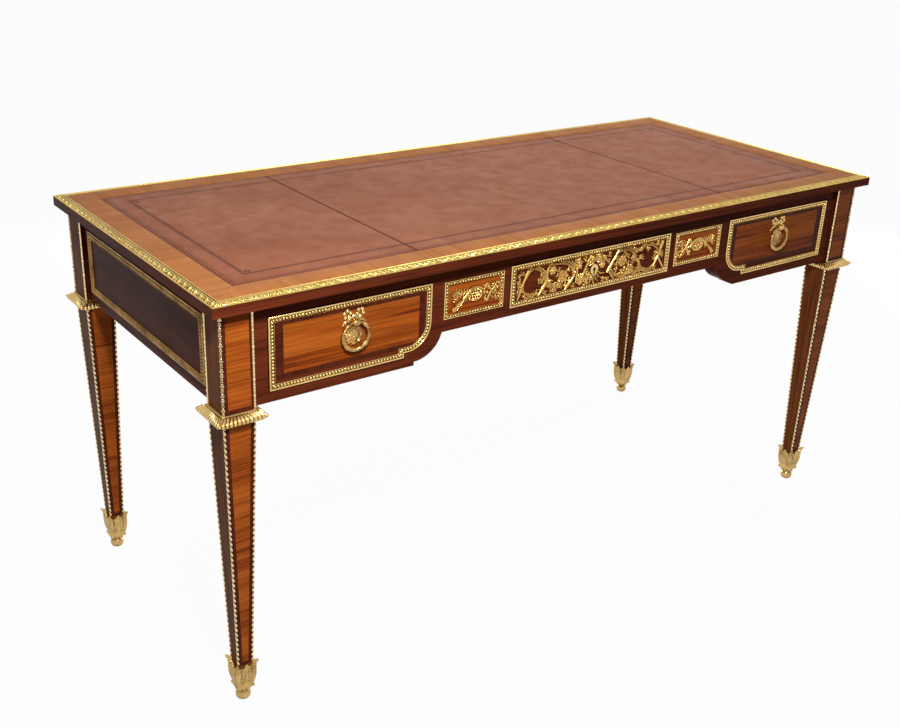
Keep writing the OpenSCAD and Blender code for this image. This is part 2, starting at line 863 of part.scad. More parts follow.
// Keyhole outline, drawn in X and Z
module keyhole(grow) {
    translate([0, key_z]) circle(d = keyhole_d + 2 * grow);
    translate([-key_slot_w / 2 - grow, key_z - key_slot_l - grow])
        square([key_slot_w + 2 * grow, key_slot_l + grow]);
}

module drawer_front_centre() {
    color(tulipwood)
    difference() {
        raise(box_y, front_t) difference() {
            mid_outline(front_gap);
            keyhole(0);
        }
        front_groove(mid_box, mid_box_z);
    }
}
module drawer_sides_centre() { box_sides(mid_box, mid_box_z); }
module drawer_back_centre() { box_back(mid_box, mid_box_z); }
module drawer_bottom_centre() { box_bottom(mid_box, mid_box_z); }
module drawer_frame_centre() { color(gilt) mid_frame(front_y); }

// Ring pulls

module at_pull(side) {
    to_side(side) translate([open_x, 0, 0]) children();
}

// Bow of ribbon over the ring, drawn around the point where it is tied
module bow() {
    loop_d = bow_w * 0.3;
    loop_x = (bow_w - loop_d) / 2;
    loop_z = loop_d / 3;
    for (s = [-1, 1]) {
        difference() {
            hull() {
                circle(d = ribbon_w);
                translate([s * loop_x, loop_z]) circle(d = loop_d);
            }
            hull() {
                translate([s * loop_x / 2, loop_z / 2]) circle(d = ribbon_w / 3);
                translate([s * loop_x, loop_z]) circle(d = loop_d - 1.4 * ribbon_w);
            }
        }
        stroke([0, 0], [s * bow_w * 0.43, -bow_w * 0.27], ribbon_w);
    }
}

module pull_plate(side) {
    bow_z = pivot_z + knuckle_d / 2 + bow_up;
    color(gilt)
    at_pull(side) difference() {
        union() {
            raise(front_y, plate_t) {
                translate([0, ring_z]) circle(d = rosette_d);
                translate([-ribbon_w / 2, ring_z]) square([ribbon_w, bow_z - ring_z]);
            }
            raise(front_y, bow_h) translate([0, bow_z]) bow();
            translate([0, front_y - plate_t, ring_z]) rotate([90, 0, 0])
                cylinder(d = rosette_d * 0.55, h = rosette_h - plate_t);
            block([-knuckle_l / 4, ring_y, pivot_z - 3], [knuckle_l / 4, front_y, pivot_z + 3]);
            translate([-knuckle_l / 2, ring_y, pivot_z]) rotate([0, 90, 0])
                cylinder(d = knuckle_d, h = knuckle_l);
            translate([0, front_y, ring_z]) rotate([-90, 0, 0])
                cylinder(d = stud_d, h = front_t + nut_t + 2);
        }
        translate([-knuckle_l, ring_y, pivot_z]) rotate([0, 90, 0])
            cylinder(d = ring_pin_d + 2 * pin_gap, h = 2 * knuckle_l);
    }
}
module pull_plate_left() { pull_plate(-1); }
module pull_plate_right() { pull_plate(1); }

module pull_nut(side) {
    color(steel)
    at_pull(side) translate([0, box_y, ring_z]) difference() {
        translate([-nut_w / 2, 0, -nut_w / 2]) cube([nut_w, nut_t, nut_w]);
        rotate([-90, 0, 0]) translate([0, 0, -1])
            cylinder(d = stud_d + 2 * screw_gap, h = nut_t + 2);
    }
}
module pull_nut_left() { pull_nut(-1); }
module pull_nut_right() { pull_nut(1); }

module pull_ring(side) {
    color(gilt)
    at_pull(side) translate([0, ring_y, 0]) union() {
        difference() {
            translate([0, 0, ring_z]) rotate([90, 0, 0]) rotate_extrude()
                translate([ring_d / 2, 0]) circle(d = ring_tube, $fn = 32);
            block([-ring_half_gap, -ring_tube, ring_z], [ring_half_gap, ring_tube, ring_z + ring_d]);
        }
        translate([-ring_half_gap - 1, 0, pivot_z]) rotate([0, 90, 0])
            cylinder(d = ring_pin_d, h = 2 * ring_half_gap + 2);
    }
}
module pull_ring_left() { pull_ring(-1); }
module pull_ring_right() { pull_ring(1); }

// Centre mount: scrolls, rosettes and crossed staffs around the keyhole
module centre_mount() {
    rx = mid_x - front_gap - frame_w;
    rz = (mid_z1 - mid_z0) / 2 - front_gap - frame_w;
    rose_x = rx * 0.46;
    eye_x = rx * 0.86;
    eye_r = rz * 0.72;
    color(gilt)
    raise(front_y, scroll_h) translate([0, key_z]) difference() {
        union() {
            for (s = [-1, 1]) mirror([s < 0 ? 1 : 0, 0]) {
                difference() {
                    translate([eye_x - eye_r * 0.4, 0]) circle(r = eye_r);
                    translate([eye_x - eye_r * 0.4, 0]) circle(r = eye_r - scroll_t);
                }
                translate([rose_x, 0]) difference() {
                    circle(r = rz * 0.8);
                    circle(r = rz * 0.8 - scroll_t);
                }
                translate([rose_x, 0]) circle(r = rz * 0.35);
                stroke([rose_x, -rz * 0.2], [rose_x - rz * 0.2, rz * 0.7], scroll_t);
                stroke([rose_x + rz * 0.7, 0], [eye_x - eye_r, 0], scroll_t);
                stroke([scroll_t, -rz * 0.7], [rose_x - rz * 0.5, rz * 0.7], scroll_t);
                stroke([key_plate_d / 2, 0], [rose_x - rz * 0.6, 0], scroll_t);
                translate([rx * 0.13, -rz * 0.6]) circle(r = rz * 0.3);
            }
            translate([0, rz * 0.55]) circle(r = rz * 0.4);
            translate([0, -rz * 0.55]) circle(r = rz * 0.4);
            circle(d = key_plate_d + 2 * scroll_t);
        }
        circle(d = key_plate_d);
        translate([-key_plate_d / 4, -key_slot_l - 2]) square([key_plate_d / 2, key_slot_l]);
    }
}

module keyhole_plate() {
    color(gilt)
    raise(front_y, key_plate_h) difference() {
        union() {
            translate([0, key_z]) circle(d = key_plate_d);
            translate([-key_plate_d / 4, key_z - key_slot_l - 2]) square([key_plate_d / 2, key_slot_l]);
        }
        keyhole(0);
    }
}

module lock_case() {
    color(steel)
    difference() {
        block([-lock_w / 2, box_y, key_z - lock_below], [lock_w / 2, box_y + lock_depth, lock_top]);
        block([-bolt_w / 2 - bolt_gap, bolt_y - bolt_gap, key_z - lock_below + lock_wall],
              [bolt_w / 2 + bolt_gap, bolt_y + bolt_t + bolt_gap, lock_top + 1]);
        raise(bolt_y, lock_wall + 2) keyhole(0);
    }
}

module lock_bolt() {
    color(steel)
    block([-bolt_w / 2, bolt_y, bolt_z0], [bolt_w / 2, bolt_y + bolt_t, lock_top - 0.5]);
}

top_board();
top_banding();
leather_left();
leather_centre();
leather_right();
top_edge_moulding();
leg_front_left();
leg_front_right();
leg_back_left();
leg_back_right();
collar_front_left();
collar_front_right();
collar_back_left();
collar_back_right();
sabot_front_left();
sabot_front_right();
sabot_back_left();
sabot_back_right();
leg_edge_strips();
front_apron();
back_apron();
end_apron_left();
end_apron_right();
end_frame_left();
end_frame_right();
back_frames();
small_frames();
small_mounts();
partition_left();
partition_right();
drawer_runners();
drawer_kickers();
corner_blocks();
top_screws();
drawer_front_left();
drawer_sides_left();
drawer_back_left();
drawer_bottom_left();
drawer_frame_left();
pull_plate_left();
pull_nut_left();
pull_ring_left();
drawer_front_right();
drawer_sides_right();
drawer_back_right();
drawer_bottom_right();
drawer_frame_right();
pull_plate_right();
pull_nut_right();
pull_ring_right();
drawer_front_centre();
drawer_sides_centre();
drawer_back_centre();
drawer_bottom_centre();
drawer_frame_centre();
centre_mount();
keyhole_plate();
lock_case();
lock_bolt();
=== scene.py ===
"""Writing table: polished veneers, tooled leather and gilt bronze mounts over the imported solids."""
import json
import math

import bmesh
import bpy
import numpy as np
from mathutils import Matrix, Vector


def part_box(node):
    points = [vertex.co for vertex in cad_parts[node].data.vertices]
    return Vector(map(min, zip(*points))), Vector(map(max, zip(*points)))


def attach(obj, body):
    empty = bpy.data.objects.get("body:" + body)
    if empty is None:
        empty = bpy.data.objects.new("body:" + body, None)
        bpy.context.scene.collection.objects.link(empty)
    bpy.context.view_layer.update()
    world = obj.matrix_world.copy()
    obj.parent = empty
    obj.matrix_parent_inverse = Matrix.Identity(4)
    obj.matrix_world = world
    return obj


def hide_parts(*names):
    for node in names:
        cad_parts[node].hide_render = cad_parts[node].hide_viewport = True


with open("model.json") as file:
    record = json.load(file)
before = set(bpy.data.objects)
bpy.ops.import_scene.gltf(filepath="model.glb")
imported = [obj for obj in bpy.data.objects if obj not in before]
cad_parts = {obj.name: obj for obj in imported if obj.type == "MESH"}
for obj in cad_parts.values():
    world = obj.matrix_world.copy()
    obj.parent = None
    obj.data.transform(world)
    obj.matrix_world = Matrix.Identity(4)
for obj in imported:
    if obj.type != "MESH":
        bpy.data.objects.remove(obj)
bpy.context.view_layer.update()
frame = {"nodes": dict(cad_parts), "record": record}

MM = 0.001
SIDES = (-1, 1)
HANDS = ((-1, "left"), (1, "right"))
LEGS = [("front_left", -1, -1), ("front_right", 1, -1), ("back_left", -1, 1), ("back_right", 1, 1)]


def extent(node):
    """Lowest and highest corner of a solid, in millimetres."""
    low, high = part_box(node)
    return np.array(low) / MM, np.array(high) / MM


# Main sizes, in millimetres, mostly read from the solids
EDGE_LOW, EDGE_HIGH = extent("top_edge_moulding")
BAND_HIGH = extent("top_banding")[1]
COLLAR_LOW, COLLAR_HIGH = extent("collar_front_right")
SABOT_HIGH = extent("sabot_front_right")[1]
STRIP_HIGH = extent("leg_edge_strips")[1]
SIDE_LOW, SIDE_HIGH = extent("drawer_frame_right")
MID_LOW, MID_HIGH = extent("drawer_frame_centre")
END_LOW, END_HIGH = extent("end_frame_right")
SMALL_LOW, SMALL_HIGH = extent("small_frames")
RING_LOW, RING_HIGH = extent("pull_ring_right")
LEG_X = (COLLAR_LOW[0] + COLLAR_HIGH[0]) / 2
LEG_Y = -(COLLAR_LOW[1] + COLLAR_HIGH[1]) / 2
POST = 2 * (STRIP_HIGH[0] - LEG_X)
FACE_Y = -SIDE_HIGH[1]
FACE_X = END_LOW[0]
SLAB_Z = STRIP_HIGH[2]
APRON_Z = COLLAR_HIGH[2]
COLLAR_Z = COLLAR_LOW[2]
SABOT_Z = SABOT_HIGH[2]
ANKLE = 32.0
STRIP = 5.0
PROUD = 1.5
SMALL_L = 134.0
KEY_Z = (MID_LOW[2] + MID_HIGH[2]) / 2
PULL_X = (SIDE_LOW[0] + SIDE_HIGH[0]) / 2
RING_R = 25.0
RING_TUBE = 4.5
RING_Z = RING_LOW[2] + RING_R + RING_TUBE

# Ways that an open sheet can face, and the distance in millimetres under which points are one
FORWARDS = (0, -1, 0)
UPWARDS = (0, 0, 1)
WELD = 0.002


class Look:
    """Nodes of a procedural material, or of the world, made one by one."""

    def __init__(self, owner):
        self.owner = owner
        owner.use_nodes = True
        self.tree = owner.node_tree

    def add(self, kind, inputs=(), **settings):
        made = self.tree.nodes.new(kind)
        for key, value in settings.items():
            setattr(made, key, value)
        for socket, value in dict(inputs).items():
            self.feed(made, socket, value)
        return made

    def feed(self, made, socket, value):
        if isinstance(value, bpy.types.NodeSocket):
            self.tree.links.new(value, made.inputs[socket])
        else:
            made.inputs[socket].default_value = value

    def object_place(self):
        return self.add("ShaderNodeTexCoord").outputs["Object"]

    def grain_place(self):
        return self.add("ShaderNodeAttribute", attribute_name="grain").outputs["Vector"]

    def axes(self, place):
        return self.add("ShaderNodeSeparateXYZ", {0: place}).outputs

    def mark(self):
        """How far a spot is darkened, as painted shade on the bronze and as dark seams in the leather: its
        first grain value, counted in millimetres.
        """
        return self.math("MULTIPLY", self.axes(self.grain_place())[0], 1 / MM, clamp=True)

    def noise(self, place, scale, detail=4.0, rough=0.5, warp=0.0):
        """Noise at one scale, or stretched by a scale for each axis."""
        if isinstance(scale, tuple):
            place = self.add("ShaderNodeMapping", {"Vector": place, "Scale": scale}).outputs[0]
            scale = 1.0
        inputs = {"Vector": place, "Scale": scale, "Detail": detail, "Roughness": rough, "Distortion": warp}
        return self.add("ShaderNodeTexNoise", inputs).outputs[0]

    def math(self, operation, a, b=0.0, clamp=False):
        made = self.add("ShaderNodeMath", {0: a, 1: b}, operation=operation, use_clamp=clamp)
        return made.outputs[0]

    def highest(self, value, *others):
        for other in others:
            value = self.math("MAXIMUM", value, other)
        return value

    def ramp(self, value, low, high, first, last):
        """Carries the range from low to high over to the one from first to last."""
        inputs = {0: value, 1: low, 2: high, 3: first, 4: last}
        return self.add("ShaderNodeMapRange", inputs).outputs[0]

    def mix(self, share, a, b):
        """Mixes two colours, each from a node or written as on a screen, 0 to 255."""
        made = self.add("ShaderNodeMix", {0: share}, data_type="RGBA")
        for socket, value in ((6, a), (7, b)):
            self.feed(made, socket, value if isinstance(value, bpy.types.NodeSocket) else linear(value))
        return made.outputs[2]

    def bump(self, height, distance, below=None):
        made = self.add("ShaderNodeBump", {"Height": height, "Strength": 1.0, "Distance": distance})
        if below is not None:
            self.feed(made, "Normal", below)
        return made.outputs[0]

    def seen(self):
        """1 where the camera or a mirroring or clear surface looks, 0 where light is gathered."""
        path = self.add("ShaderNodeLightPath").outputs
        return self.highest(path["Is Camera Ray"], path["Is Glossy Ray"], path["Is Transmission Ray"])

    def finish(self, colour, rough, normal, metallic=0.0, specular=0.5):
        values = {"Base Color": colour, "Roughness": rough, "Normal": normal, "Metallic": metallic,
                  "Specular IOR Level": specular}
        for socket, value in values.items():
            self.feed(self.tree.nodes["Principled BSDF"], socket, value)
        return self.owner


def linear(screen):
    """Linear colour of a screen's values."""
    share = [v / 255 for v in screen]
    return (*(v / 12.92 if v <= 0.04045 else ((v + 0.055) / 1.055) ** 2.4 for v in share), 1.0)


def wood_look(name, dark, mid, light, laid=False, streak=260.0, figure=0.35, specular=0.05, rough=0.3):
    """Polished veneer; the grain runs along the first grain axis, or along the rails of a solid."""
    look = Look(bpy.data.materials.new(name))
    if laid:
        place = look.grain_place()
    else:
        plain = look.object_place()
        x, y, z = look.axes(plain)
        turned = look.add("ShaderNodeCombineXYZ", {0: y, 1: x, 2: z}).outputs[0]
        normal = look.add("ShaderNodeNewGeometry").outputs["True Normal"]
        sideways = look.math("GREATER_THAN", look.math("ABSOLUTE", look.axes(normal)[0]), 0.6)
        place = look.add("ShaderNodeMix", {0: sideways, 4: plain, 5: turned}, data_type="VECTOR").outputs[1]
    fine = look.noise(place, (5.0, streak, streak), 4.0, 0.6, 0.6)
    broad = look.noise(place, (2.2, 34.0, 34.0), 3.0, 0.55, 0.8)
    pores = look.noise(place, (70.0, 1500.0, 1500.0), 2.0)
    colour = look.mix(look.ramp(fine, 0.36, 0.62, 0.0, 1.0), dark, mid)
    colour = look.mix(look.ramp(broad, 0.38, 0.66, 0.0, 1.0), colour, look.mix(figure, colour, light))
    colour = look.mix(look.ramp(pores, 0.6, 0.72, 0.0, 0.35), colour, dark)
    gloss = look.ramp(look.noise(place, (14.0, 14.0, 14.0), 3.0), 0.3, 0.7, rough - 0.07, rough + 0.07)
    normal = look.bump(pores, 0.00003, look.bump(fine, 0.00004))
    return look.finish(colour, gloss, normal, specular=specular)


def bronze_look(name, bright, deep, rough=0.3, wear=0.5):
    """Chased and gilded bronze: bright on the high places, with painted shade that turns the hollows brown.
    """
    look = Look(bpy.data.materials.new(name))
    place = look.object_place()
    patch = look.noise(place, 35.0, 4.0, 0.6)
    grit = look.noise(place, 900.0, 3.0, 0.6)
    colour = look.mix(look.ramp(patch, 0.35, 0.7, 0.0, wear), bright, deep)
    colour = look.mix(look.ramp(grit, 0.55, 0.8, 0.0, 0.3), colour, deep)
    # Painted shade: hollows found by ambient occlusion, and spots given marks, are mixed to dark brown
    sunk = look.add("ShaderNodeAmbientOcclusion", {"Distance": 0.004}, samples=6, only_local=True)
    painted_shade = look.highest(look.ramp(sunk.outputs["AO"], 0.28, 0.8, 0.85, 0.0), look.mark())
    colour = look.mix(painted_shade, colour, (62, 38, 16))
    gloss = look.ramp(patch, 0.3, 0.75, rough - 0.06, rough + 0.12)
    normal = look.bump(grit, 0.00003, look.bump(look.noise(place, 260.0, 2.0), 0.00008))
    return look.finish(colour, gloss, normal, metallic=1.0)


def leather_look():
    """Waxed hide with blind-tooled lines along its edges and a little four-petalled tool in the corners."""
    look = Look(bpy.data.materials.new("leather"))
    place = look.object_place()
    cloud = look.noise(place, 5.0, 5.0, 0.6, 0.4)
    mottle = look.noise(place, 26.0, 5.0, 0.65)
    ruddy = look.noise(place, (1.6, 2.6, 1.0), 2.0)
    spots = look.noise(place, 60.0, 2.0)
    colour = look.mix(look.ramp(cloud, 0.3, 0.7, 0.0, 1.0), (146, 80, 46), (166, 98, 62))
    colour = look.mix(look.ramp(mottle, 0.35, 0.7, 0.0, 0.5), colour, (124, 68, 40))
    colour = look.mix(look.ramp(ruddy, 0.52, 0.7, 0.0, 0.45), colour, (172, 89, 48))
    colour = look.mix(look.ramp(spots, 0.72, 0.8, 0.0, 0.6), colour, (84, 46, 36))

    x, y, _ = look.axes(place)
    half = (extent("leather_right")[1] * MM).tolist()
    from_end = look.math("SUBTRACT", half[0], look.math("ABSOLUTE", x))
    from_side = look.math("SUBTRACT", half[1], look.math("ABSOLUTE", y))
    inset = look.math("MINIMUM", from_end, from_side)
    nearer = look.math("LESS_THAN", from_end, from_side)
    run = look.add("ShaderNodeMix", {0: nearer, 2: x, 3: y}, data_type="FLOAT").outputs[0]

    def along(period, phase=0.0):
        """Wave along the edge, between -1 and 1."""
        turn = look.math("MULTIPLY", run, 2 * math.pi / (period * MM))
        return look.math("SINE", look.math("ADD", turn, phase))

    def line(centre, core, rim, depth=1.0, sway=0.0):
        """Line tooled at a distance from the edge, from its core out to its rim."""
        gap = look.math("SUBTRACT", look.math("SUBTRACT", inset, sway), centre * MM)
        return look.ramp(look.math("ABSOLUTE", gap), core * MM, rim * MM, depth, 0.0)

    def square(value, shift):
        return look.math("POWER", look.math("SUBTRACT", value, shift * MM), 2.0)

    chain = []
    for phase in (0.0, math.pi):
        sway = look.math("MULTIPLY", along(21.0, phase), 2.9 * MM)
        chain.append(line(5.4, 0.6, 1.7, sway=sway))
    inner = look.highest(line(42.2, 2.0, 4.8), line(37.6, 0.2, 1.0, 0.7))
    inner = look.math("MULTIPLY", inner, look.ramp(along(11.0), -1.0, 1.0, 0.75, 1.0))
    petals = []
    for du, dv in ((4, 0), (-4, 0), (0, 4), (0, -4)):
        away = look.math("ADD", square(from_end, 53 + du), square(from_side, 53 + dv))
        petals.append(look.ramp(away, 5.5e-6, 1.1e-5, 1.0, 0.0))
    lines = (line(0.6, 0.3, 1.3), line(10.4, 0.15, 1.35, 0.9), line(15.5, 0.05, 1.05, 0.45))
    tool = look.highest(*chain, *lines, inner, *petals)
    colour = look.mix(look.math("MULTIPLY", tool, 0.88), colour, (86, 32, 12))
    colour = look.mix(look.mark(), colour, (40, 20, 14))
    pebble = look.add("ShaderNodeTexVoronoi", {"Vector": place, "Scale": 620.0}).outputs["Distance"]
    gloss = look.ramp(mottle, 0.3, 0.7, 0.34, 0.5)
    normal = look.bump(pebble, 0.00008, look.bump(cloud, 0.0008))
    normal = look.bump(look.math("SUBTRACT", 1.0, tool), 0.0002, normal)
    return look.finish(colour, gloss, normal, specular=0.07)


def steel_look():
    """Plain steel with a fine tooth."""
    look = Look(bpy.data.materials.new("steel"))
    place = look.object_place()
    blotch = look.noise(place, 60.0, 4.0, 0.6)
    tooth = look.noise(place, (40.0, 900.0, 900.0), 2.0)
    colour = look.mix(look.ramp(blotch, 0.35, 0.7, 0.0, 1.0), (110, 110, 112), (160, 160, 162))
    gloss = look.ramp(blotch, 0.3, 0.7, 0.32, 0.5)
    return look.finish(colour, gloss, look.bump(tooth, 0.00005), metallic=1.0)


MAHOGANY = wood_look("mahogany", (70, 30, 17), (109, 47, 26), (145, 67, 39), specular=0.015)
KINGWOOD = wood_look("kingwood", (54, 20, 10), (92, 35, 18), (120, 50, 26), laid=True, figure=0.4,
                     specular=0.06)
SIDE_WOOD = wood_look("kingwood_sides", (98, 46, 21), (144, 80, 42), (168, 102, 58), laid=True,
                      specular=0.015)
TULIPWOOD = wood_look("tulipwood", (92, 36, 10), (178, 82, 20), (222, 122, 44), laid=True, streak=300.0,
                      figure=0.5)
TAN_VENEER = wood_look("tan_veneer", (158, 94, 46), (178, 110, 56), (194, 126, 68), laid=True, streak=220.0,
                       figure=0.6, specular=0.03, rough=0.4)
OAK = wood_look("oak", (120, 88, 56), (168, 128, 84), (190, 150, 104), specular=0.2, rough=0.6)
BRONZE = bronze_look("gilt_bronze", (236, 202, 132), (186, 146, 82), rough=0.24)
MOUNT_BRONZE = bronze_look("gilt_bronze_mount", (230, 184, 106), (158, 112, 54), rough=0.22, wear=0.7)
STRIP_BRONZE = bronze_look("gilt_bronze_strip", (246, 220, 168), (196, 160, 106), rough=0.22)
TOP_BRONZE = bronze_look("gilt_bronze_top", (226, 194, 112), (158, 122, 56), rough=0.22)
DULL_BRONZE = bronze_look("gilt_bronze_dull", (212, 178, 114), (150, 116, 64), wear=0.7)
PULL_BRONZE = bronze_look("gilt_bronze_pull", (218, 178, 110), (134, 98, 52), rough=0.26, wear=0.9)
# Darker, rougher copy of the gilt bronze for the end frames: painted shade, as the ends stand in shade
END_SHADE_BRONZE = bronze_look("gilt_bronze_end_shade", (170, 132, 76), (104, 74, 40), rough=0.4, wear=0.9)
STEEL = steel_look()
LEATHER = leather_look()


def marked(marks):
    """Grain values that carry how far each point is darkened, by painted shade or, in the leather, by a dark
    seam.
    """
    return np.asarray(marks, float)[..., None] * (1.0, 0.0, 0.0)


def circle(count):
    """Angles of points round a circle."""
    return np.linspace(0, 2 * math.pi, count, endpoint=False)


def unit(value):
    """Value held between 0 and 1."""
    return np.clip(value, 0, 1)


def bell(value, width):
    """1 at nought, falling smoothly to either side."""
    return np.exp(-(value / width) ** 2)


def arch(value, width=1.0):
    """Half-round section: 1 at nought, 0 from the width on."""
    return np.sqrt(unit(1 - (value / width) ** 2))


class Shape:
    """Points in millimetres and the faces between them, with a slot and grain places or marks."""

    def __init__(self):
        self.points = []
        self.grain = []
        self.faces = []
        self.count = 0

    def add(self, points, faces, slot=0, grain=None):
        points = np.asarray(points, float).reshape(-1, 3)
        self.points.append(points)
        self.grain.append(np.zeros_like(points) if grain is None else np.asarray(grain, float).reshape(-1, 3))
        for group in faces:
            self.faces.append((np.asarray(group, int) + self.count, slot))
        self.count += len(points)

    def polygon(self, points, slot=0, grain=None):
        self.add(points, [[tuple(range(len(points)))]], slot, grain)

    def put(self, form, origin, axes):
        """Adds a small form at an origin, along three axes."""
        points, groups = form
        self.add(origin + points @ axes, groups)

    def grid(self, points, loop_u=False, loop_v=False, grain=None, caps=False):
        """Quads over rows and columns of points; a loop joins the last row or column to the first."""
        points = np.asarray(points, float)
        rows, columns = points.shape[:2]
        index = np.arange(rows * columns).reshape(rows, columns)
        ends = [index[0][::-1], index[-1]]
        if loop_u:
            index = np.vstack([index, index[:1]])
        if loop_v:
            index = np.hstack([index, index[:, :1]])
        corners = (index[:-1, :-1], index[1:, :-1], index[1:, 1:], index[:-1, 1:])
        groups = [np.stack(corners, -1).reshape(-1, 4)]
        if caps:
            groups += [[end] for end in ends]
        self.add(points, groups, 0, grain)

    def build(self, name, looks, body, stands_for=(), slot="gilt_bronze", facing=None, crease=38.0):
        """Makes the object; an open sheet is told which way it faces."""
        loops = np.concatenate([group.ravel() for group, _ in self.faces])
        totals = np.concatenate([np.full(len(group), group.shape[1]) for group, _ in self.faces])
        mesh = bpy.data.meshes.new(name)
        mesh.vertices.add(self.count)
        mesh.vertices.foreach_set("co", (np.concatenate(self.points) * MM).ravel())
        mesh.loops.add(len(loops))
        mesh.loops.foreach_set("vertex_index", loops)
        mesh.polygons.add(len(totals))
        mesh.polygons.foreach_set("loop_start", np.concatenate([[0], np.cumsum(totals)[:-1]]))
        indices = np.concatenate([np.full(len(group), index) for group, index in self.faces])
        mesh.polygons.foreach_set("material_index", indices)
        mesh.update(calc_edges=True)
        grain = np.concatenate(self.grain)
        if grain.any():
            layer = mesh.attributes.new("grain", "FLOAT_VECTOR", "CORNER")
            layer.data.foreach_set("vector", (grain[loops] * MM).ravel())
        work = bmesh.new()
        work.from_mesh(mesh)
        bmesh.ops.remove_doubles(work, verts=work.verts, dist=WELD * MM)
        if facing is None:
            bmesh.ops.recalc_face_normals(work, faces=work.faces)
        else:
            work.normal_update()
            total = sum((face.normal * face.calc_area() for face in work.faces), Vector((0, 0, 0)))
            if total.dot(Vector(facing)) < 0:
                bmesh.ops.reverse_faces(work, faces=work.faces)
        work.to_mesh(mesh)
        work.free()
        for look in looks:
            mesh.materials.append(look)
        mesh.shade_smooth()
        mesh.set_sharp_from_angle(angle=math.radians(crease))
        made = bpy.data.objects.new(name, mesh)
        bpy.context.scene.collection.objects.link(made)
        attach(made, body)
        if stands_for:
            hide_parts(*stands_for)


def curve(points, count=10):
    """Smooth line through a few points."""
    p = np.array(points, float)
    p = np.vstack([2 * p[0] - p[1], p, 2 * p[-1] - p[-2]])
    t = np.linspace(0, 1, count, endpoint=False)[:, None]
    parts = []
    for a, b, c, d in zip(p, p[1:], p[2:], p[3:]):
        square = 2 * a - 5 * b + 4 * c - d
        cube = 3 * b - a - 3 * c + d
        parts.append(0.5 * (2 * b + (c - a) * t + square * t ** 2 + cube * t ** 3))
    return np.vstack(parts + [p[-2:-1]])


def dome(along, across, height, sunk=0.4, segments=8, rings=3):
    """Half bead whose first axis lies along its row, as (points, face groups)."""
    points = []
    for i in range(rings):
        tilt = i / rings * math.pi / 2
        lift = height * math.sin(tilt) if i else -sunk
        for j in range(segments):
            turn = 2 * math.pi * j / segments
            reach = (along * math.cos(tilt) * math.cos(turn), across * math.cos(tilt) * math.sin(turn))
            points.append((*reach, lift))
    points.append((0, 0, height))
    near = np.arange((rings - 1) * segments)
    far = near // segments * segments + (near + 1) % segments
    quads = np.stack([near, far, far + segments, near + segments], -1)
    last = (rings - 1) * segments
    tips = [(last + j, last + (j + 1) % segments, len(points) - 1) for j in range(segments)]
    return np.array(points), [quads, tips]


def walk(outline, pitch):
    """Places and headings at even steps along a closed outline, counted between its sharp corners."""
    p = np.array(outline, float)
    ahead = np.roll(p, -1, axis=0) - p
    heading = np.arctan2(ahead[:, 1], ahead[:, 0])
    turn = np.abs(np.angle(np.exp(1j * (heading - np.roll(heading, 1)))))
    sharp = np.flatnonzero(turn > 0.5)
    out = []
    for start, end in zip(sharp, np.append(sharp[1:], sharp[0] + len(p))):
        run = p[np.arange(start, end + 1) % len(p)]
        step = np.hypot(*np.diff(run, axis=0).T)
        reach = np.concatenate([[0], np.cumsum(step)])
        count = max(1, round(reach[-1] / pitch))
        for s in (np.arange(count) + 0.5) * reach[-1] / count:
            k = min(np.searchsorted(reach, s, side="right") - 1, len(step) - 1)
            way = (run[k + 1] - run[k]) / step[k]
            out.append((run[k] + way * (s - reach[k]), way))
    return out


# Section of the bronze frames, as (way in, height): a rounded band, a half-round under slanting
# ribs, and a thin bead; then the places of the ribs and the shape of a side drawer's corner
FRAME_W = 11.5
FRAME_SECTION = [(0, -1), (0, 0.6), (0.3, 1.7), (0.9, 2.5), (1.8, 2.9), (2.8, 2.6), (3.4, 1.8), (3.8, 0.7),
                 (4.3, 0.8), (5.6, 1.6), (6.9, 1.9), (8.2, 1.6), (9.5, 0.8), (9.9, 0.8), (10.1, 2.0),
                 (10.6, 2.6), (11.1, 2.2), (11.5, 1.0), (11.5, -1)]
RIB_C = 6.9
RIB_PITCH = 6.05
RIB_SLANT = 0.45
CORNER_R = 49.8
STEP_H = 9.5
STEP_W = 57.0


def side_outline(c):
    """Frame of a side drawer, drawn in by c, with its rounded lower corner and the small step."""
    x0, z0 = SIDE_LOW[0], SIDE_LOW[2]
    x1, z1 = SIDE_HIGH[0], SIDE_HIGH[2]
    points = [(x1 - c, z0 + c), (x1 - c, z1 - c), (x0 + c, z1 - c)]
    for turn in np.linspace(math.pi, 1.5 * math.pi, 16):
        points.append((x0 + CORNER_R + (CORNER_R - c) * math.cos(turn),
                       z0 + STEP_H + CORNER_R + (CORNER_R - c) * math.sin(turn)))
    points += [(x0 + STEP_W + c, z0 + STEP_H + c), (x0 + STEP_W + c, z0 + c)]
    return points


def box_outline(x0, x1, z0, z1):
    """Plain rectangular frame; the function returned draws it in by c."""
    return lambda c: [(x1 - c, z0 + c), (x1 - c, z1 - c), (x0 + c, z1 - c), (x0 + c, z0 + c)]


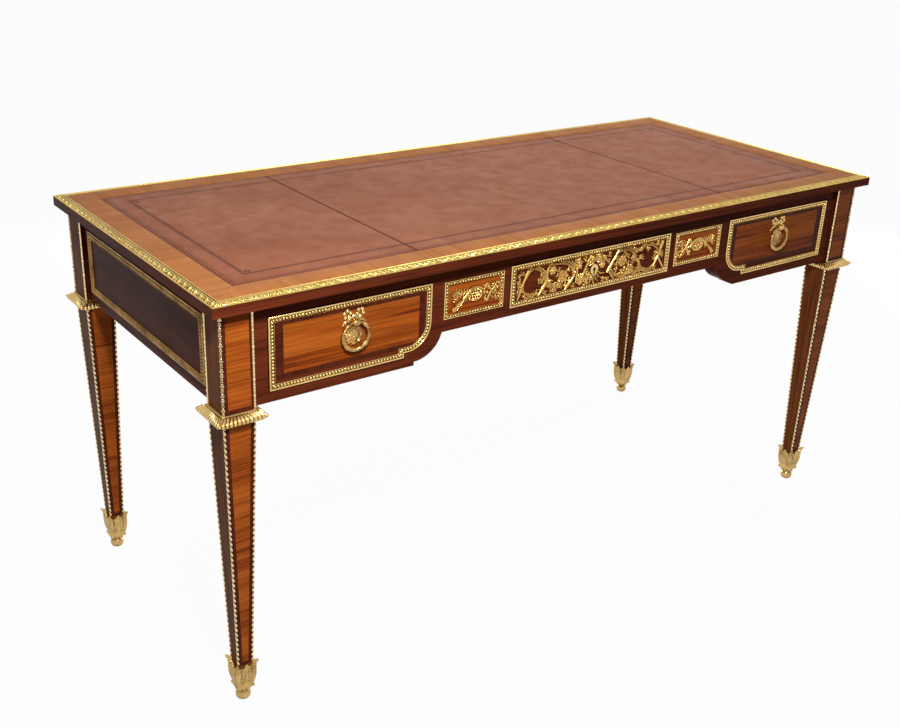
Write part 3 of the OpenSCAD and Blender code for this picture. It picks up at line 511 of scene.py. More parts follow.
def frame_shape(shape, outline, place, width=FRAME_W, slant=RIB_SLANT):
    """Sweeps the frame's section round an outline and winds its ribs."""
    scale = width / FRAME_W
    rows = [[place(x, z, h) for x, z in outline(c * scale)] for c, h in FRAME_SECTION]
    marks = np.zeros((len(rows), len(rows[0])))
    # Painted shade in the trough under the ribs, between them
    marks[[3.7 < c < 10.0 for c, _ in FRAME_SECTION]] = 0.75
    shape.grid(rows, loop_u=True, loop_v=True, grain=marked(marks))
    points, groups = dome(2.3, 3.35 * scale, 3.9, segments=12, rings=4)
    c, s = math.cos(slant), math.sin(slant)
    rib = (points @ np.array([[c, s, 0], [-s, c, 0], [0, 0, 1]]), groups)
    for (x, z), (dx, dz) in walk(outline(RIB_C * scale), RIB_PITCH):
        origin = np.array(place(x, z, 0.0))
        axes = np.array([place(x + dx, z + dz, 0.0), place(x - dz, z + dx, 0.0), place(x, z, 1.0)]) - origin
        shape.put(rib, origin, axes)


def front(side):
    """Places points given as (across, up, out) on the front, mirrored for the left side."""
    return lambda x, z, h: (side * x, -FACE_Y - h, z)


def back(side):
    """The same on the back."""
    return lambda x, z, h: (-side * x, FACE_Y + h, z)


def end(side):
    """The same on the left or right end."""
    return lambda y, z, h: (side * (FACE_X + h), y, z)


MID_OUTLINE = box_outline(MID_LOW[0], MID_HIGH[0], MID_LOW[2], MID_HIGH[2])
SMALL_OUTLINE = box_outline(SMALL_HIGH[0] - SMALL_L, SMALL_HIGH[0], SMALL_LOW[2], SMALL_HIGH[2])
END_OUTLINE = box_outline(END_LOW[1], END_HIGH[1], END_LOW[2], END_HIGH[2])
SMALL_W = 9.0
END_W = 14.5


def add_frames():
    """Ribbed frames of the drawers, the small fields, the ends and the back."""
    def frames(name, look, body, node, *sweeps):
        """One piece of one or more frames, that stands for a solid."""
        shape = Shape()
        for sweep in sweeps:
            frame_shape(shape, *sweep)
        shape.build(name, [look], body, [node])

    for side, name in HANDS:
        slant = RIB_SLANT * side
        sweep = (side_outline, front(side), FRAME_W, slant)
        frames(f"frame_{name}", BRONZE, f"drawer_{name}", f"drawer_frame_{name}", sweep)
        sweep = (END_OUTLINE, end(side), END_W)
        frames(f"frame_end_{name}", END_SHADE_BRONZE, "table", f"end_frame_{name}", sweep)
        sweep = (SMALL_OUTLINE, front(side), SMALL_W, slant)
        frames(f"frame_small_{name}", BRONZE, "table", "small_frames", sweep)
        sweeps = ((side_outline, back(side)), (SMALL_OUTLINE, back(side), SMALL_W))
        frames(f"frame_back_{name}", BRONZE, "table", "back_frames", *sweeps)
    frames("frame_centre", BRONZE, "drawer_centre", "drawer_frame_centre", (MID_OUTLINE, front(1)))
    frames("frame_back_centre", BRONZE, "table", "back_frames", (MID_OUTLINE, back(1)))


def sweep_top(shape, reach, section, count, line):
    """Sweeps a section round the top in four mitred lengths; line gives each line's heights and grain."""
    for turn in range(4):
        half, deep = reach if turn % 2 == 0 else reach[::-1]
        quarter = np.array(Matrix.Rotation(turn * math.pi / 2, 3, "Z")).T
        rows, grain = [], []
        for v, h in section:
            s = np.linspace(v, 2 * half - v, count(half))
            z, values = line(s, s - half, v, h, turn)
            rows.append(np.stack([s - half, np.full(len(s), v - deep), z], -1) @ quarter)
            grain.append(values)
        shape.grid(rows, grain=np.array(grain))


def add_edge_moulding():
    """Bronze edge of the top: a lip, a band of slanting leaves with darts between, and two fillets."""
    lip = [(0, 0.0), (0.1, 1.1), (0.8, 2.0), (1.7, 1.7), (2.2, 1.1)]
    leaves = [(v, 1.4 + 2.2 * ((v - 2.6) / 7.4) ** 0.8) for v in np.linspace(2.6, 10.0, 10)]
    fillets = [(10.4, 2.6), (10.9, 2.4), (11.5, 3.9), (12.5, 4.7), (13.3, 4.1), (13.6, 2.6), (14.8, 2.6),
               (15.1, 4.2), (16.1, 4.75), (17.3, 4.3), (17.7, 3.4), (17.7, 0.0)]
    period = 19.8
    step = 1.2

    def line(s, x, v, h, turn):
        """Heights and painted-shade marks of the line at v, with the leaves and darts raised in their band.
        """
        if not 2.4 < v < 10.2:
            # Painted shade in the low channels between the fillets
            hollow = h < 2.7 and 10 < v < 15
            return np.full(len(s), EDGE_LOW[2] + h), marked(np.full(len(s), 0.7 if hollow else 0.0))
        t = unit((v - 2.2) / 8.0)
        lean = x + 6.5 * t
        near = (lean + period / 2) % period - period / 2
        far = lean % period - period / 2
        broad = 1.4 + 4.8 * np.sin(np.pi * (0.12 + 0.62 * t)) ** 1.2
        narrow = 0.7 + 1.9 * t ** 0.7
        leaf = np.clip(1 - (near / broad) ** 2, 0, None) ** 0.55 - 0.5 * bell(near, 0.65)
        leaf -= 0.3 * bell(np.abs(near) - broad * 0.52, 0.55)
        dart = 0.85 * np.clip(1 - (far / narrow) ** 2, 0, None) ** 0.6
        form = np.maximum(leaf, dart)
        lift = 3.1 * (form - 0.72) * np.sin(np.pi * unit(t * 0.8 + 0.15))
        # Painted shade between the leaves and darts, where the form is low
        return EDGE_LOW[2] + h + lift, marked(np.clip(1.15 - 1.9 * form, 0, 0.9))

    shape = Shape()
    sweep_top(shape, EDGE_HIGH[:2], lip + leaves + fillets, lambda half: int(2 * half / step), line)
    shape.build("edge_moulding", [TOP_BRONZE], "table", ["top_edge_moulding"], facing=UPWARDS)


def add_top_band():
    """Crossbanded veneer round the leather, in four mitred lengths."""
    width = BAND_HIGH[0] - extent("leather_right")[1][0]
    steps = [0.0, 0.25, 1.0, 8.0, 24.0, width - 1.0, width - 0.2, width]
    drops = [0.9, 0.25, 0.0, 0.0, 0.05, 0.0, 0.3, 0.9]

    def line(s, x, v, drop, turn):
        """Heights and grain of the line at v; the grain runs across the band."""
        grain = np.stack([np.full(len(s), v), s, np.full(len(s), 300.0 * turn)], -1)
        return np.full(len(s), BAND_HIGH[2] - drop), grain

    shape = Shape()
    sweep_top(shape, BAND_HIGH[:2], list(zip(steps, drops)), lambda half: 80, line)
    shape.build("band_top", [TAN_VENEER], "table", ["top_banding"], "tan_veneer", UPWARDS)


def add_leather():
    """Three skins, a little uneven, that dip where they meet."""
    edge = np.array([0.0, 0.4, 0.9, 1.6, 3.0, 6.0])
    outer = 600
    for name in ("left", "centre", "right"):
        low, high = extent(f"leather_{name}")
        lines = []
        for a, b in ((low[0], high[0]), (low[1], high[1])):
            middle = np.linspace(a + 14, b - 14, int((b - a) / 9))
            lines.append(np.concatenate([a + edge, middle, b - edge[::-1]]))
        x, y = np.meshgrid(*lines, indexing="ij")
        gap = np.minimum(np.minimum(x - low[0], high[0] - x), np.minimum(y - low[1], high[1] - y))
        join = np.minimum(9e9 if low[0] < -outer else x - low[0], 9e9 if high[0] > outer else high[0] - x)
        swell = 0.12 * (np.sin(x / 47 + 1.3 * np.sin(y / 61)) + np.sin(y / 39 + np.sin(x / 83)) - 2)
        z = high[2] - 1.3 * np.exp(-gap / 0.8) + swell * unit(gap / 20) - 0.9 * bell(join, 1.3)
        shape = Shape()
        shape.grid(np.stack([x, y, z], -1), grain=marked(unit(1.7 - join / 1.2)))
        shape.build(f"skin_{name}", [LEATHER], "table", [f"leather_{name}"], "leather", UPWARDS, 60)


def inlay(shape, corners, border, offset):
    """Veneered face: a tulipwood panel with a mitred crossband of kingwood round it.

    corners runs (low left, low right, high right, high left); border gives the widths at the
    left, right, bottom and top; offset moves the grain, so that no two panels are alike.
    """
    a, b, c, d = (np.array(p, float) for p in corners)
    left, right, bottom, top = border
    height = np.linalg.norm(d - a)
    side = (b - a) / np.linalg.norm(b - a)
    rise = (d - a) / height
    inner = []
    for t in (bottom / height, 1 - top / height):
        start, stop = (1 - t) * a + t * d, (1 - t) * b + t * c
        w = np.linalg.norm(stop - start)
        for s in (left / w, 1 - right / w):
            inner.append((1 - s) * start + s * stop)
    e, f, h, g = inner

    def face(points, first, second, slot, shift):
        grain = [(np.dot(p - a, first), np.dot(p - a, second), offset + shift) for p in points]
        shape.polygon(points, slot, grain)

    face([e, f, g, h], side, rise, 1, 0)
    face([a, b, f, e], rise, side, 0, 20)
    face([b, c, g, f], side, rise, 0, 40)
    face([c, d, h, g], rise, side, 0, 60)
    face([d, a, e, h], side, rise, 0, 80)


def leg_w(z):
    """Width of a leg over its strips at the height z."""
    return ANKLE + (POST - ANKLE) * (z - SABOT_Z) / (COLLAR_Z - SABOT_Z)


def add_legs():
    """Posts and tapering legs, veneered, with notches for the bronze strips in their corners."""
    out, notch, edge = POST / 2 - PROUD, POST / 2 - STRIP, POST / 2
    post = [(-edge, -edge), (notch, -edge), (notch, -notch), (out, -notch), (out, notch), (notch, notch),
            (notch, out), (-notch, out), (-notch, notch), (-edge, notch)]
    post_border = (5.5, 3.7, 7.0, 6.0)
    leg_border = (5.5, 5.5, 7.0, 6.0)
    levels = [SABOT_Z - 24, SABOT_Z - 2, COLLAR_Z, APRON_Z]

    def section(z):
        """Outline of the tapering leg at a height, with its four notches."""
        half = leg_w(min(z, COLLAR_Z)) / 2
        a, b = half - PROUD, half - STRIP
        return [(a, -b), (a, b), (b, b), (b, a), (-b, a), (-b, b), (-a, b), (-a, -b), (-b, -b), (-b, -a),
                (b, -a), (b, -b)]

    for index, (name, sx, sy) in enumerate(LEGS):
        shape = Shape()

        def ring(outline, z):
            """Outline about the leg's middle, at a height."""
            return [(sx * (LEG_X + x), sy * (LEG_Y + y), z) for x, y in outline]

        def walls(low, high, start, stop, side_wood, panels, border):
            """Faces between two rings. Grain runs from start to stop; side_wood lists the faces in the
            lighter veneer, and panels maps the inlaid ones to the shift of their grain."""
            for i in range(len(low)):
                j = (i + 1) % len(low)
                corners = [low[i], low[j], high[j], high[i]]
                if i in panels:
                    inlay(shape, corners, border, 400 * index + panels[i])
                else:
                    run = math.dist(low[i], low[j])
                    grain = [(start, 0, 9 * i), (start, run, 9 * i), (stop, run, 9 * i), (stop, 0, 9 * i)]
                    shape.polygon(corners, 2 if i in side_wood else 0, grain)

        low, high = ring(post, APRON_Z), ring(post, SLAB_Z)
        walls(low, high, 0, SLAB_Z - APRON_Z, (3,), {6: 0}, post_border)
        shape.polygon(high)
        shape.polygon(low)
        rings = [ring(section(z), z) for z in levels]
        sorts = ((0, 3, 6, 9), (0, 6), (0, 6))
        for k, side_wood in enumerate(sorts):
            panels = {3: 21, 9: 63} if k == 1 else {}
            walls(rings[k], rings[k + 1], levels[k], levels[k + 1], side_wood, panels, leg_border)
        shape.polygon(rings[0])
        shape.polygon(rings[-1])
        looks = [KINGWOOD, TULIPWOOD, SIDE_WOOD]
        shape.build(f"leg_wood_{name}", looks, "table", [f"leg_{name}"], "tulipwood", crease=20)


def rod(shape, place, levels, centre, radius, turns=12):
    """Closed rod up a corner: centre and radius follow the height and the way round."""
    way = circle(turns)
    rows, marks = [], []
    for z in levels:
        r = radius(way, z)
        x, y = centre(z) + r * np.cos(way), centre(z) + r * np.sin(way)
        rows.append(np.stack([*place(x, y), np.full(turns, z)], -1))
        # Painted shade where the rod is thin, in the gaps between its beads
        marks.append(0.9 * unit((2.0 - r) / 0.6))
    shape.grid(rows, loop_v=True, caps=True, grain=marked(marks))


def rope(way, z):
    """Slanting oval beads of the tapering legs, a little apart."""
    s = (z / 10.6 + (way - math.pi / 4) / (2 * math.pi) * 0.8) % 1.0
    return 0.95 + 1.4 * arch(s - 0.5, 0.37)


def beads_and_reels(way, z):
    """Round beads with long bars between, on the inner corners of the posts."""
    period = 28.4
    s = z % period - period / 2
    far = period / 2 - abs(s)
    bar = 2.15 - 0.7 * bell(far - 10.6, 0.9) + 0.3 * math.cos(2 * math.pi * far / 5.3)
    return np.full(len(way), max(2.8 * arch(s, 3.0), bar))


def husks(way, z):
    """Overlapping husks of the outer corners, of uneven size, with a small bead at each tip."""
    number, s = divmod(z, 8.6)
    s = s / 8.6
    turned = way - math.pi / 4
    tall = 0.84 + 0.16 * math.sin(2.4 * number)
    flare = 1.0 + 2.7 * tall * (1 - s) ** 0.6 * min(1.0, s * 5)
    split = 1 - 0.4 * bell(turned, 0.22) * (1 - s)
    lobes = 0.74 + 0.26 * np.cos(6 * turned + 4 * s + 1.3 * number)
    return np.maximum(flare * split * lobes, 2.1 * arch(s - 0.84, 0.16))


def add_strips():
    """Cast bronze strips in the corners of the posts and of the tapering legs."""
    leg = np.arange(SABOT_Z - 2, COLLAR_Z + 1, 0.9)
    post = np.arange(APRON_Z - 1, SLAB_Z + 0.2, 0.7)
    for name, sx, sy in LEGS:
        shape = Shape()

        def corner(px, py):
            return lambda x, y: (sx * (LEG_X + px * x), sy * (LEG_Y + py * y))

        for px, py in ((1, 1), (1, -1), (-1, 1), (-1, -1)):
            rod(shape, corner(px, py), leg, lambda z: leg_w(z) / 2 - 2.5, rope)
        for px, py in ((1, -1), (-1, 1)):
            rod(shape, corner(px, py), post, lambda z: POST / 2 - 2.4, beads_and_reels)
        rod(shape, corner(1, 1), post, lambda z: POST / 2 - 2.1, husks, 16)
        shape.build(f"strips_{name}", [STRIP_BRONZE], "table", ["leg_edge_strips"], crease=70)


def square_ring(half, count):
    """Points round a square, count to a side, with the way along each side from -1 to 1."""
    s = (np.arange(count) + 0.5) / count * 2 - 1
    points = []
    for turn in range(4):
        c, d = math.cos(turn * math.pi / 2), math.sin(turn * math.pi / 2)
        points.append(np.stack([c * half - d * s * half, d * half + c * s * half], -1))
    return np.concatenate(points), np.tile(s, 4)


def at_leg(points, sx, sy):
    """Points about a leg's middle, moved to the leg and mirrored like it."""
    points = np.array(points)
    return np.stack([sx * (LEG_X + points[..., 0]), sy * (LEG_Y + points[..., 1]), points[..., 2]], -1)


def add_collars():
    """Collars of leaf tips round the foot of each post."""
    reach = (COLLAR_HIGH[0] - COLLAR_LOW[0]) / 2 - POST / 2
    rise = APRON_Z - COLLAR_Z
    middle = COLLAR_Z + 0.6 * rise
    # Way out, way up and depth of the cuts between the leaves, as shares
    section = [(-1.6, 1.0, 0), (0.0, 1.0, 0), (0.05, 0.97, 0), (0.1, 0.9, 0.2), (0.18, 0.94, 0.8),
               (0.34, 0.95, 1.0), (0.5, 0.9, 1.0), (0.66, 0.85, 1.0), (0.8, 0.77, 1.0), (0.92, 0.66, 1.0),
               (0.99, 0.52, 1.0), (0.99, 0.4, 1.0), (0.92, 0.28, 1.0), (0.8, 0.18, 0.9), (0.62, 0.1, 0.6),
               (0.42, 0.05, 0.2), (0.2, 0.02, 0), (0.0, 0.0, 0), (-1.6, 0.0, 0)]
    leaves, steps = 12, 12
    rows, marks = [], []
    for out, up, cut in section:
        half = POST / 2 + (out * reach if out >= 0 else out)
        ring, along = square_ring(half, leaves * steps)
        lobe = np.abs(np.cos(np.pi * along * leaves / 2))
        corner = bell(1 - np.abs(along), 0.06)
        groove = cut * (1 - lobe ** 0.6) * (1 - corner)
        vein = cut * bell(1 - lobe, 0.03)
        depth = 2.5 * groove + 0.3 * vein
        ring = ring * ((half - depth * min(1.0, 1.6 * out)) / half)[:, None]
        z = COLLAR_Z + up * rise - 1.7 * groove * (up > 0.5) + 1.0 * groove * (up < 0.3)
        point = corner * unit(out * 1.5)
        z = middle + (z - middle) * (1 - 0.5 * point) + 0.2 * point
        z = z - 2.4 * unit(1.6 * out) * (up < 0.97)
        rows.append(np.column_stack([ring, z]))
        # Painted shade in the cuts between the leaves and on the inner rows against the post
        marks.append(np.clip(1.3 * groove - 0.1, 0.55 if out < 0.12 else 0.0, 0.9))
    for name, sx, sy in LEGS:
        shape = Shape()
        shape.grid(at_leg(rows, sx, sy), loop_u=True, loop_v=True, grain=marked(marks))
        shape.build(f"leaf_collar_{name}", [BRONZE], "table", [f"collar_{name}"], crease=60)


def sabot_cup():
    """Rows of points and painted-shade marks of the acanthus cup, from the ball up to the mouth and in to the
    leg.
    """
    ring, along = square_ring(1.0, 44)
    corner = bell(1 - np.abs(along), 0.28)
    centre = bell(along, 0.22)
    foot = 22.0
    mouth = 77.5 + 11.5 * corner ** 1.5 + 6.0 * centre
    rows, marks = [], []
    for v in np.linspace(0, 1, 56):
        z = foot + v * (mouth - foot)
        half = np.interp(z, [22, 25, 28, 31, 34, 36, 40, 48, 58, 68, 76, 82, 90],
                         [9.0, 12.8, 14.8, 16.4, 15.6, 14.6, 15.2, 17.2, 18.6, 19.2, 19.4, 19.8, 21.4])
        half += 2.3 * corner * unit((z - 76) / 12) ** 1.5
        half += 1.4 * corner * unit(1 - np.abs(z - 31) / 5)
        square = np.interp(z, [22, 30, 38], [0.0, 0.75, 1.0])
        shrink = square + (1 - square) / np.hypot(ring[:, 0], ring[:, 1])
        vein = 0.75 * np.cos(np.pi * along * (3.5 + 2.0 * v)) + 0.5 * np.cos(11 * np.pi * along + 14 * v)
        leaf = 1.2 * bell(np.abs(along) - 0.28 - 0.3 * v, 0.06) + 0.8 * bell(along, 0.03)
        swell = unit((z - 36) / 6) * (0.7 * vein - leaf)
        scallop = np.cos(2 * np.pi * z / 7.2 + 9.0 * np.abs(along) ** 1.5) - 0.2
        swell += 0.36 * scallop * unit((z - 38) / 6) * (1 - 0.6 * centre)
        swell += 0.9 * unit(1 - np.abs(z - 30) / 4) * np.cos(np.pi * along * 7)
        rows.append(np.column_stack([ring * ((half + swell) * shrink)[:, None], z]))
        # Painted shade in the hollows of the leaves and scallops
        marks.append(np.clip(-0.4 * swell, 0, 0.6))
    lip = rows[-1]
    for share, drop in ((0.25, -0.4), (0.5, -0.2), (0.75, 0.3), (1.0, 1.2)):
        rim = lip.copy()
        inner = leg_w(rim[:, 2]) / 2 - 2.6
        rim[:, :2] *= (1 + share * (inner / np.abs(rim[:, :2]).max(axis=1) - 1))[:, None]
        rim[:, 2] -= drop
        rows.append(rim)
        # Painted shade growing in towards the leg, inside the mouth
        marks.append(np.full(len(rim), 0.15 * share))
    return rows, marks


def add_sabots():
    """Acanthus cups that hold the legs, on ball feet."""
    rows, marks = sabot_cup()
    profile = [(5.0, 0.0), (9.0, 1.3), (11.8, 3.8), (13.4, 7.2), (13.8, 10.8), (13.2, 14.4), (11.6, 17.6),
               (9.8, 19.6), (9.0, 20.8), (9.6, 22.0), (9.0, 24.0)]
    count = 40
    turn = circle(count)
    ball = [np.stack([r * np.cos(turn), r * np.sin(turn), np.full(count, z)], -1) for r, z in profile]
    levels = [z for _, z in profile]
    # Painted shade under the ball and round its neck
    painted_shade = np.interp(levels, [0, 3.8, 9.0, 14.4, 19.6, 22.0], [0.9, 0.6, 0.1, 0.05, 0.6, 0.8])
    leaf, leaves, leaf_r, leaf_z = dome(2.2, 4.2, 2.3, sunk=0.6, segments=10, rings=4), 12, 12.4, 24.4
    bead, bead_r, bead_z = dome(1.9, 1.9, 2.0, sunk=0.2), 18.6, 82.5
    for name, sx, sy in LEGS:
        shape = Shape()
        shape.grid(at_leg(rows, sx, sy), loop_v=True, grain=marked(marks))
        shape.grid(at_leg(ball, sx, sy), loop_v=True, caps=True, grain=marked(np.tile(painted_shade[:, None], count)))
        centre = np.array([sx * LEG_X, sy * LEG_Y, 0.0])
        for a in circle(leaves) + math.pi / leaves:
            normal = np.array([math.cos(a), math.sin(a), -0.35])
            normal /= np.linalg.norm(normal)
            level = np.array([-math.sin(a), math.cos(a), 0.0])
            origin = centre + (leaf_r * math.cos(a), leaf_r * math.sin(a), leaf_z)
            shape.put(leaf, origin, np.array([level, np.cross(normal, level), normal]))
        for dx, dy in ((1, 0), (-1, 0), (0, 1), (0, -1)):
            axes = np.array([(-dy, dx, 0.0), (0.0, 0.0, 1.0), (dx, dy, 0.0)])
            shape.put(bead, centre + (bead_r * dx, bead_r * dy, bead_z), axes)
        shape.build(f"cup_{name}", [DULL_BRONZE], "table", [f"sabot_{name}"], crease=55)


class Relief:
    """Heights of chased work over a flat field, in millimetres from its middle."""

    def __init__(self, half_x, half_z, step):
        across, up = np.arange(-half_x, half_x + step, step), np.arange(-half_z, half_z + step, step)
        self.x, self.z = np.meshgrid(across, up, indexing="ij")
        self.height = np.full(self.x.shape, -1.0)

    def near(self, line, width):
        """Window of the field round a line, and there the distance to it in widths, the share along
        it and the side of it. Outside the field it is None."""
        reach = np.max(width) + 0.5
        inside = (self.x > line[:, 0].min() - reach) & (self.x < line[:, 0].max() + reach)
        inside &= (self.z > line[:, 1].min() - reach) & (self.z < line[:, 1].max() + reach)
        if not inside.any():
            return None
        x, z = self.x[inside], self.z[inside]
        best = np.full(len(x), 9.0)
        share = np.zeros(len(x))
        hand = np.zeros(len(x))
        count = len(line) - 1
        width = np.interp(np.linspace(0, 1, count + 1), np.linspace(0, 1, len(width)), width)
        for k in range(count):
            (ax, az), (bx, bz) = line[k], line[k + 1]
            dx, dz = bx - ax, bz - az
            size = dx * dx + dz * dz + 1e-9
            t = np.clip(((x - ax) * dx + (z - az) * dz) / size, 0, 1)
            gap = np.hypot(x - ax - t * dx, z - az - t * dz)
            q = gap / np.maximum(width[k] + t * (width[k + 1] - width[k]), 0.05)
            closer = q < best
            best[closer] = q[closer]
            share[closer] = ((k + t) / count)[closer]
            hand[closer] = np.sign((x - ax) * dz - (z - az) * dx)[closer]
        return inside, best, share, hand

    def lay(self, r, body, inside=...):
        """Raises the field to the body wherever r is under one."""
        self.height[inside] = np.maximum(self.height[inside], np.where(r < 1, body, -1.0))

    def stem(self, points, width, height=3.2, groove=0.25, flutes=0):
        """Round stalk or scroll through the points, or a band with flutes along it."""
        found = self.near(curve(points), width)
        if found is None:
            return
        inside, q, _, hand = found
        body = height * arch(q)
        if flutes:
            body *= 0.8 + 0.2 * np.cos(np.pi * (flutes * hand * q + 1))
        else:
            body *= 1 - groove * bell(q, 0.22)
        self.lay(q, body + 0.3, inside)

    def leaf(self, points, width, height=3.6, lobes=4):
        """Lobed acanthus leaf along the points, widest near a third of its length."""
        t = np.linspace(0, 1, 24)
        found = self.near(curve(points), width * np.sin(np.pi * t ** 0.7) ** 0.8 + 0.3)
        if found is None:
            return
        inside, q, share, _ = found
        r = q / (0.68 + 0.32 * np.abs(np.cos(np.pi * lobes * (share - 0.12 * q))))
        vein = 0.78 + 0.22 * np.cos(2 * np.pi * lobes * (share - 0.35 * q) + math.pi)
        body = height * arch(r) * vein * (1 - 0.35 * bell(q, 0.12))
        self.lay(r, body + 0.25, inside)

    def rose(self, cx, cz, radius, petals=6, height=4.6):
        """Open flower seen from the front."""
        r = np.hypot(self.x - cx, self.z - cz) / radius
        a = petals * np.arctan2(self.z - cz, self.x - cx)
        petal = np.abs(np.cos(a / 2))
        rim = 0.8 + 0.2 * petal
        outer = height * 0.7 * arch(r, rim) * (0.72 + 0.28 * petal) * (1 - 0.35 * bell(r - 0.48, 0.07))
        inner = height * arch(r, 0.42) * (0.8 + 0.2 * np.cos(a + 2))
        self.lay(r / rim, np.maximum(outer, inner) + 0.3)

    def hoop(self, cx, cz, rx, rz, width, height, beats):
        """Ribbed oval ring."""
        x, z = (self.x - cx) / rx, (self.z - cz) / rz
        q = np.abs(np.hypot(x, z) - 1) * (rx + rz) / 2 / width
        rib = 0.8 + 0.2 * np.cos(beats * np.arctan2(z, x))
        self.lay(q, height * arch(q) * rib + 0.3)

    def ring_of_roses(self, cx, cz, rx, rz, start, rose):
        """Five small flowers round a middle."""
        for step in range(5):
            a = 2 * math.pi * step / 5 + start
            self.rose(cx + rx * math.cos(a), cz + rz * math.sin(a), *rose)

    def build(self, name, look, body, node, place):
        """Makes the raised cells, with painted shade in their hollows and low places; the rim goes a
        millimetre into the wood.
        """
        solid = self.height > 0
        cells = solid[:-1, :-1] | solid[1:, :-1] | solid[1:, 1:] | solid[:-1, 1:]
        index = np.arange(self.x.size).reshape(self.x.shape)
        quads = np.stack([index[:-1, :-1], index[1:, :-1], index[1:, 1:], index[:-1, 1:]], -1)[cells]
        used, inverse = np.unique(quads, return_inverse=True)
        flat = np.maximum(self.height, 0.0)
        wide = np.pad(flat, 3, mode="edge")
        mean = sum(wide[i:i + flat.shape[0], j:j + flat.shape[1]] for i in range(7) for j in range(7)) / 49
        # Painted shade: darker where a cell lies below its neighbours, and where it is low over the field
        mark = np.clip(mean - flat, 0, 0.85) + 0.9 * unit(1.6 - flat / 1.1)
        places = zip(self.x.ravel()[used], self.z.ravel()[used], self.height.ravel()[used])
        shape = Shape()
        points = [place(*p) for p in places]
        shape.add(points, [inverse.reshape(-1, 4)], 0, marked(np.clip(mark, 0, 0.92).ravel()[used]))
        shape.build(name, [look], body, [node], facing=FORWARDS, crease=75)


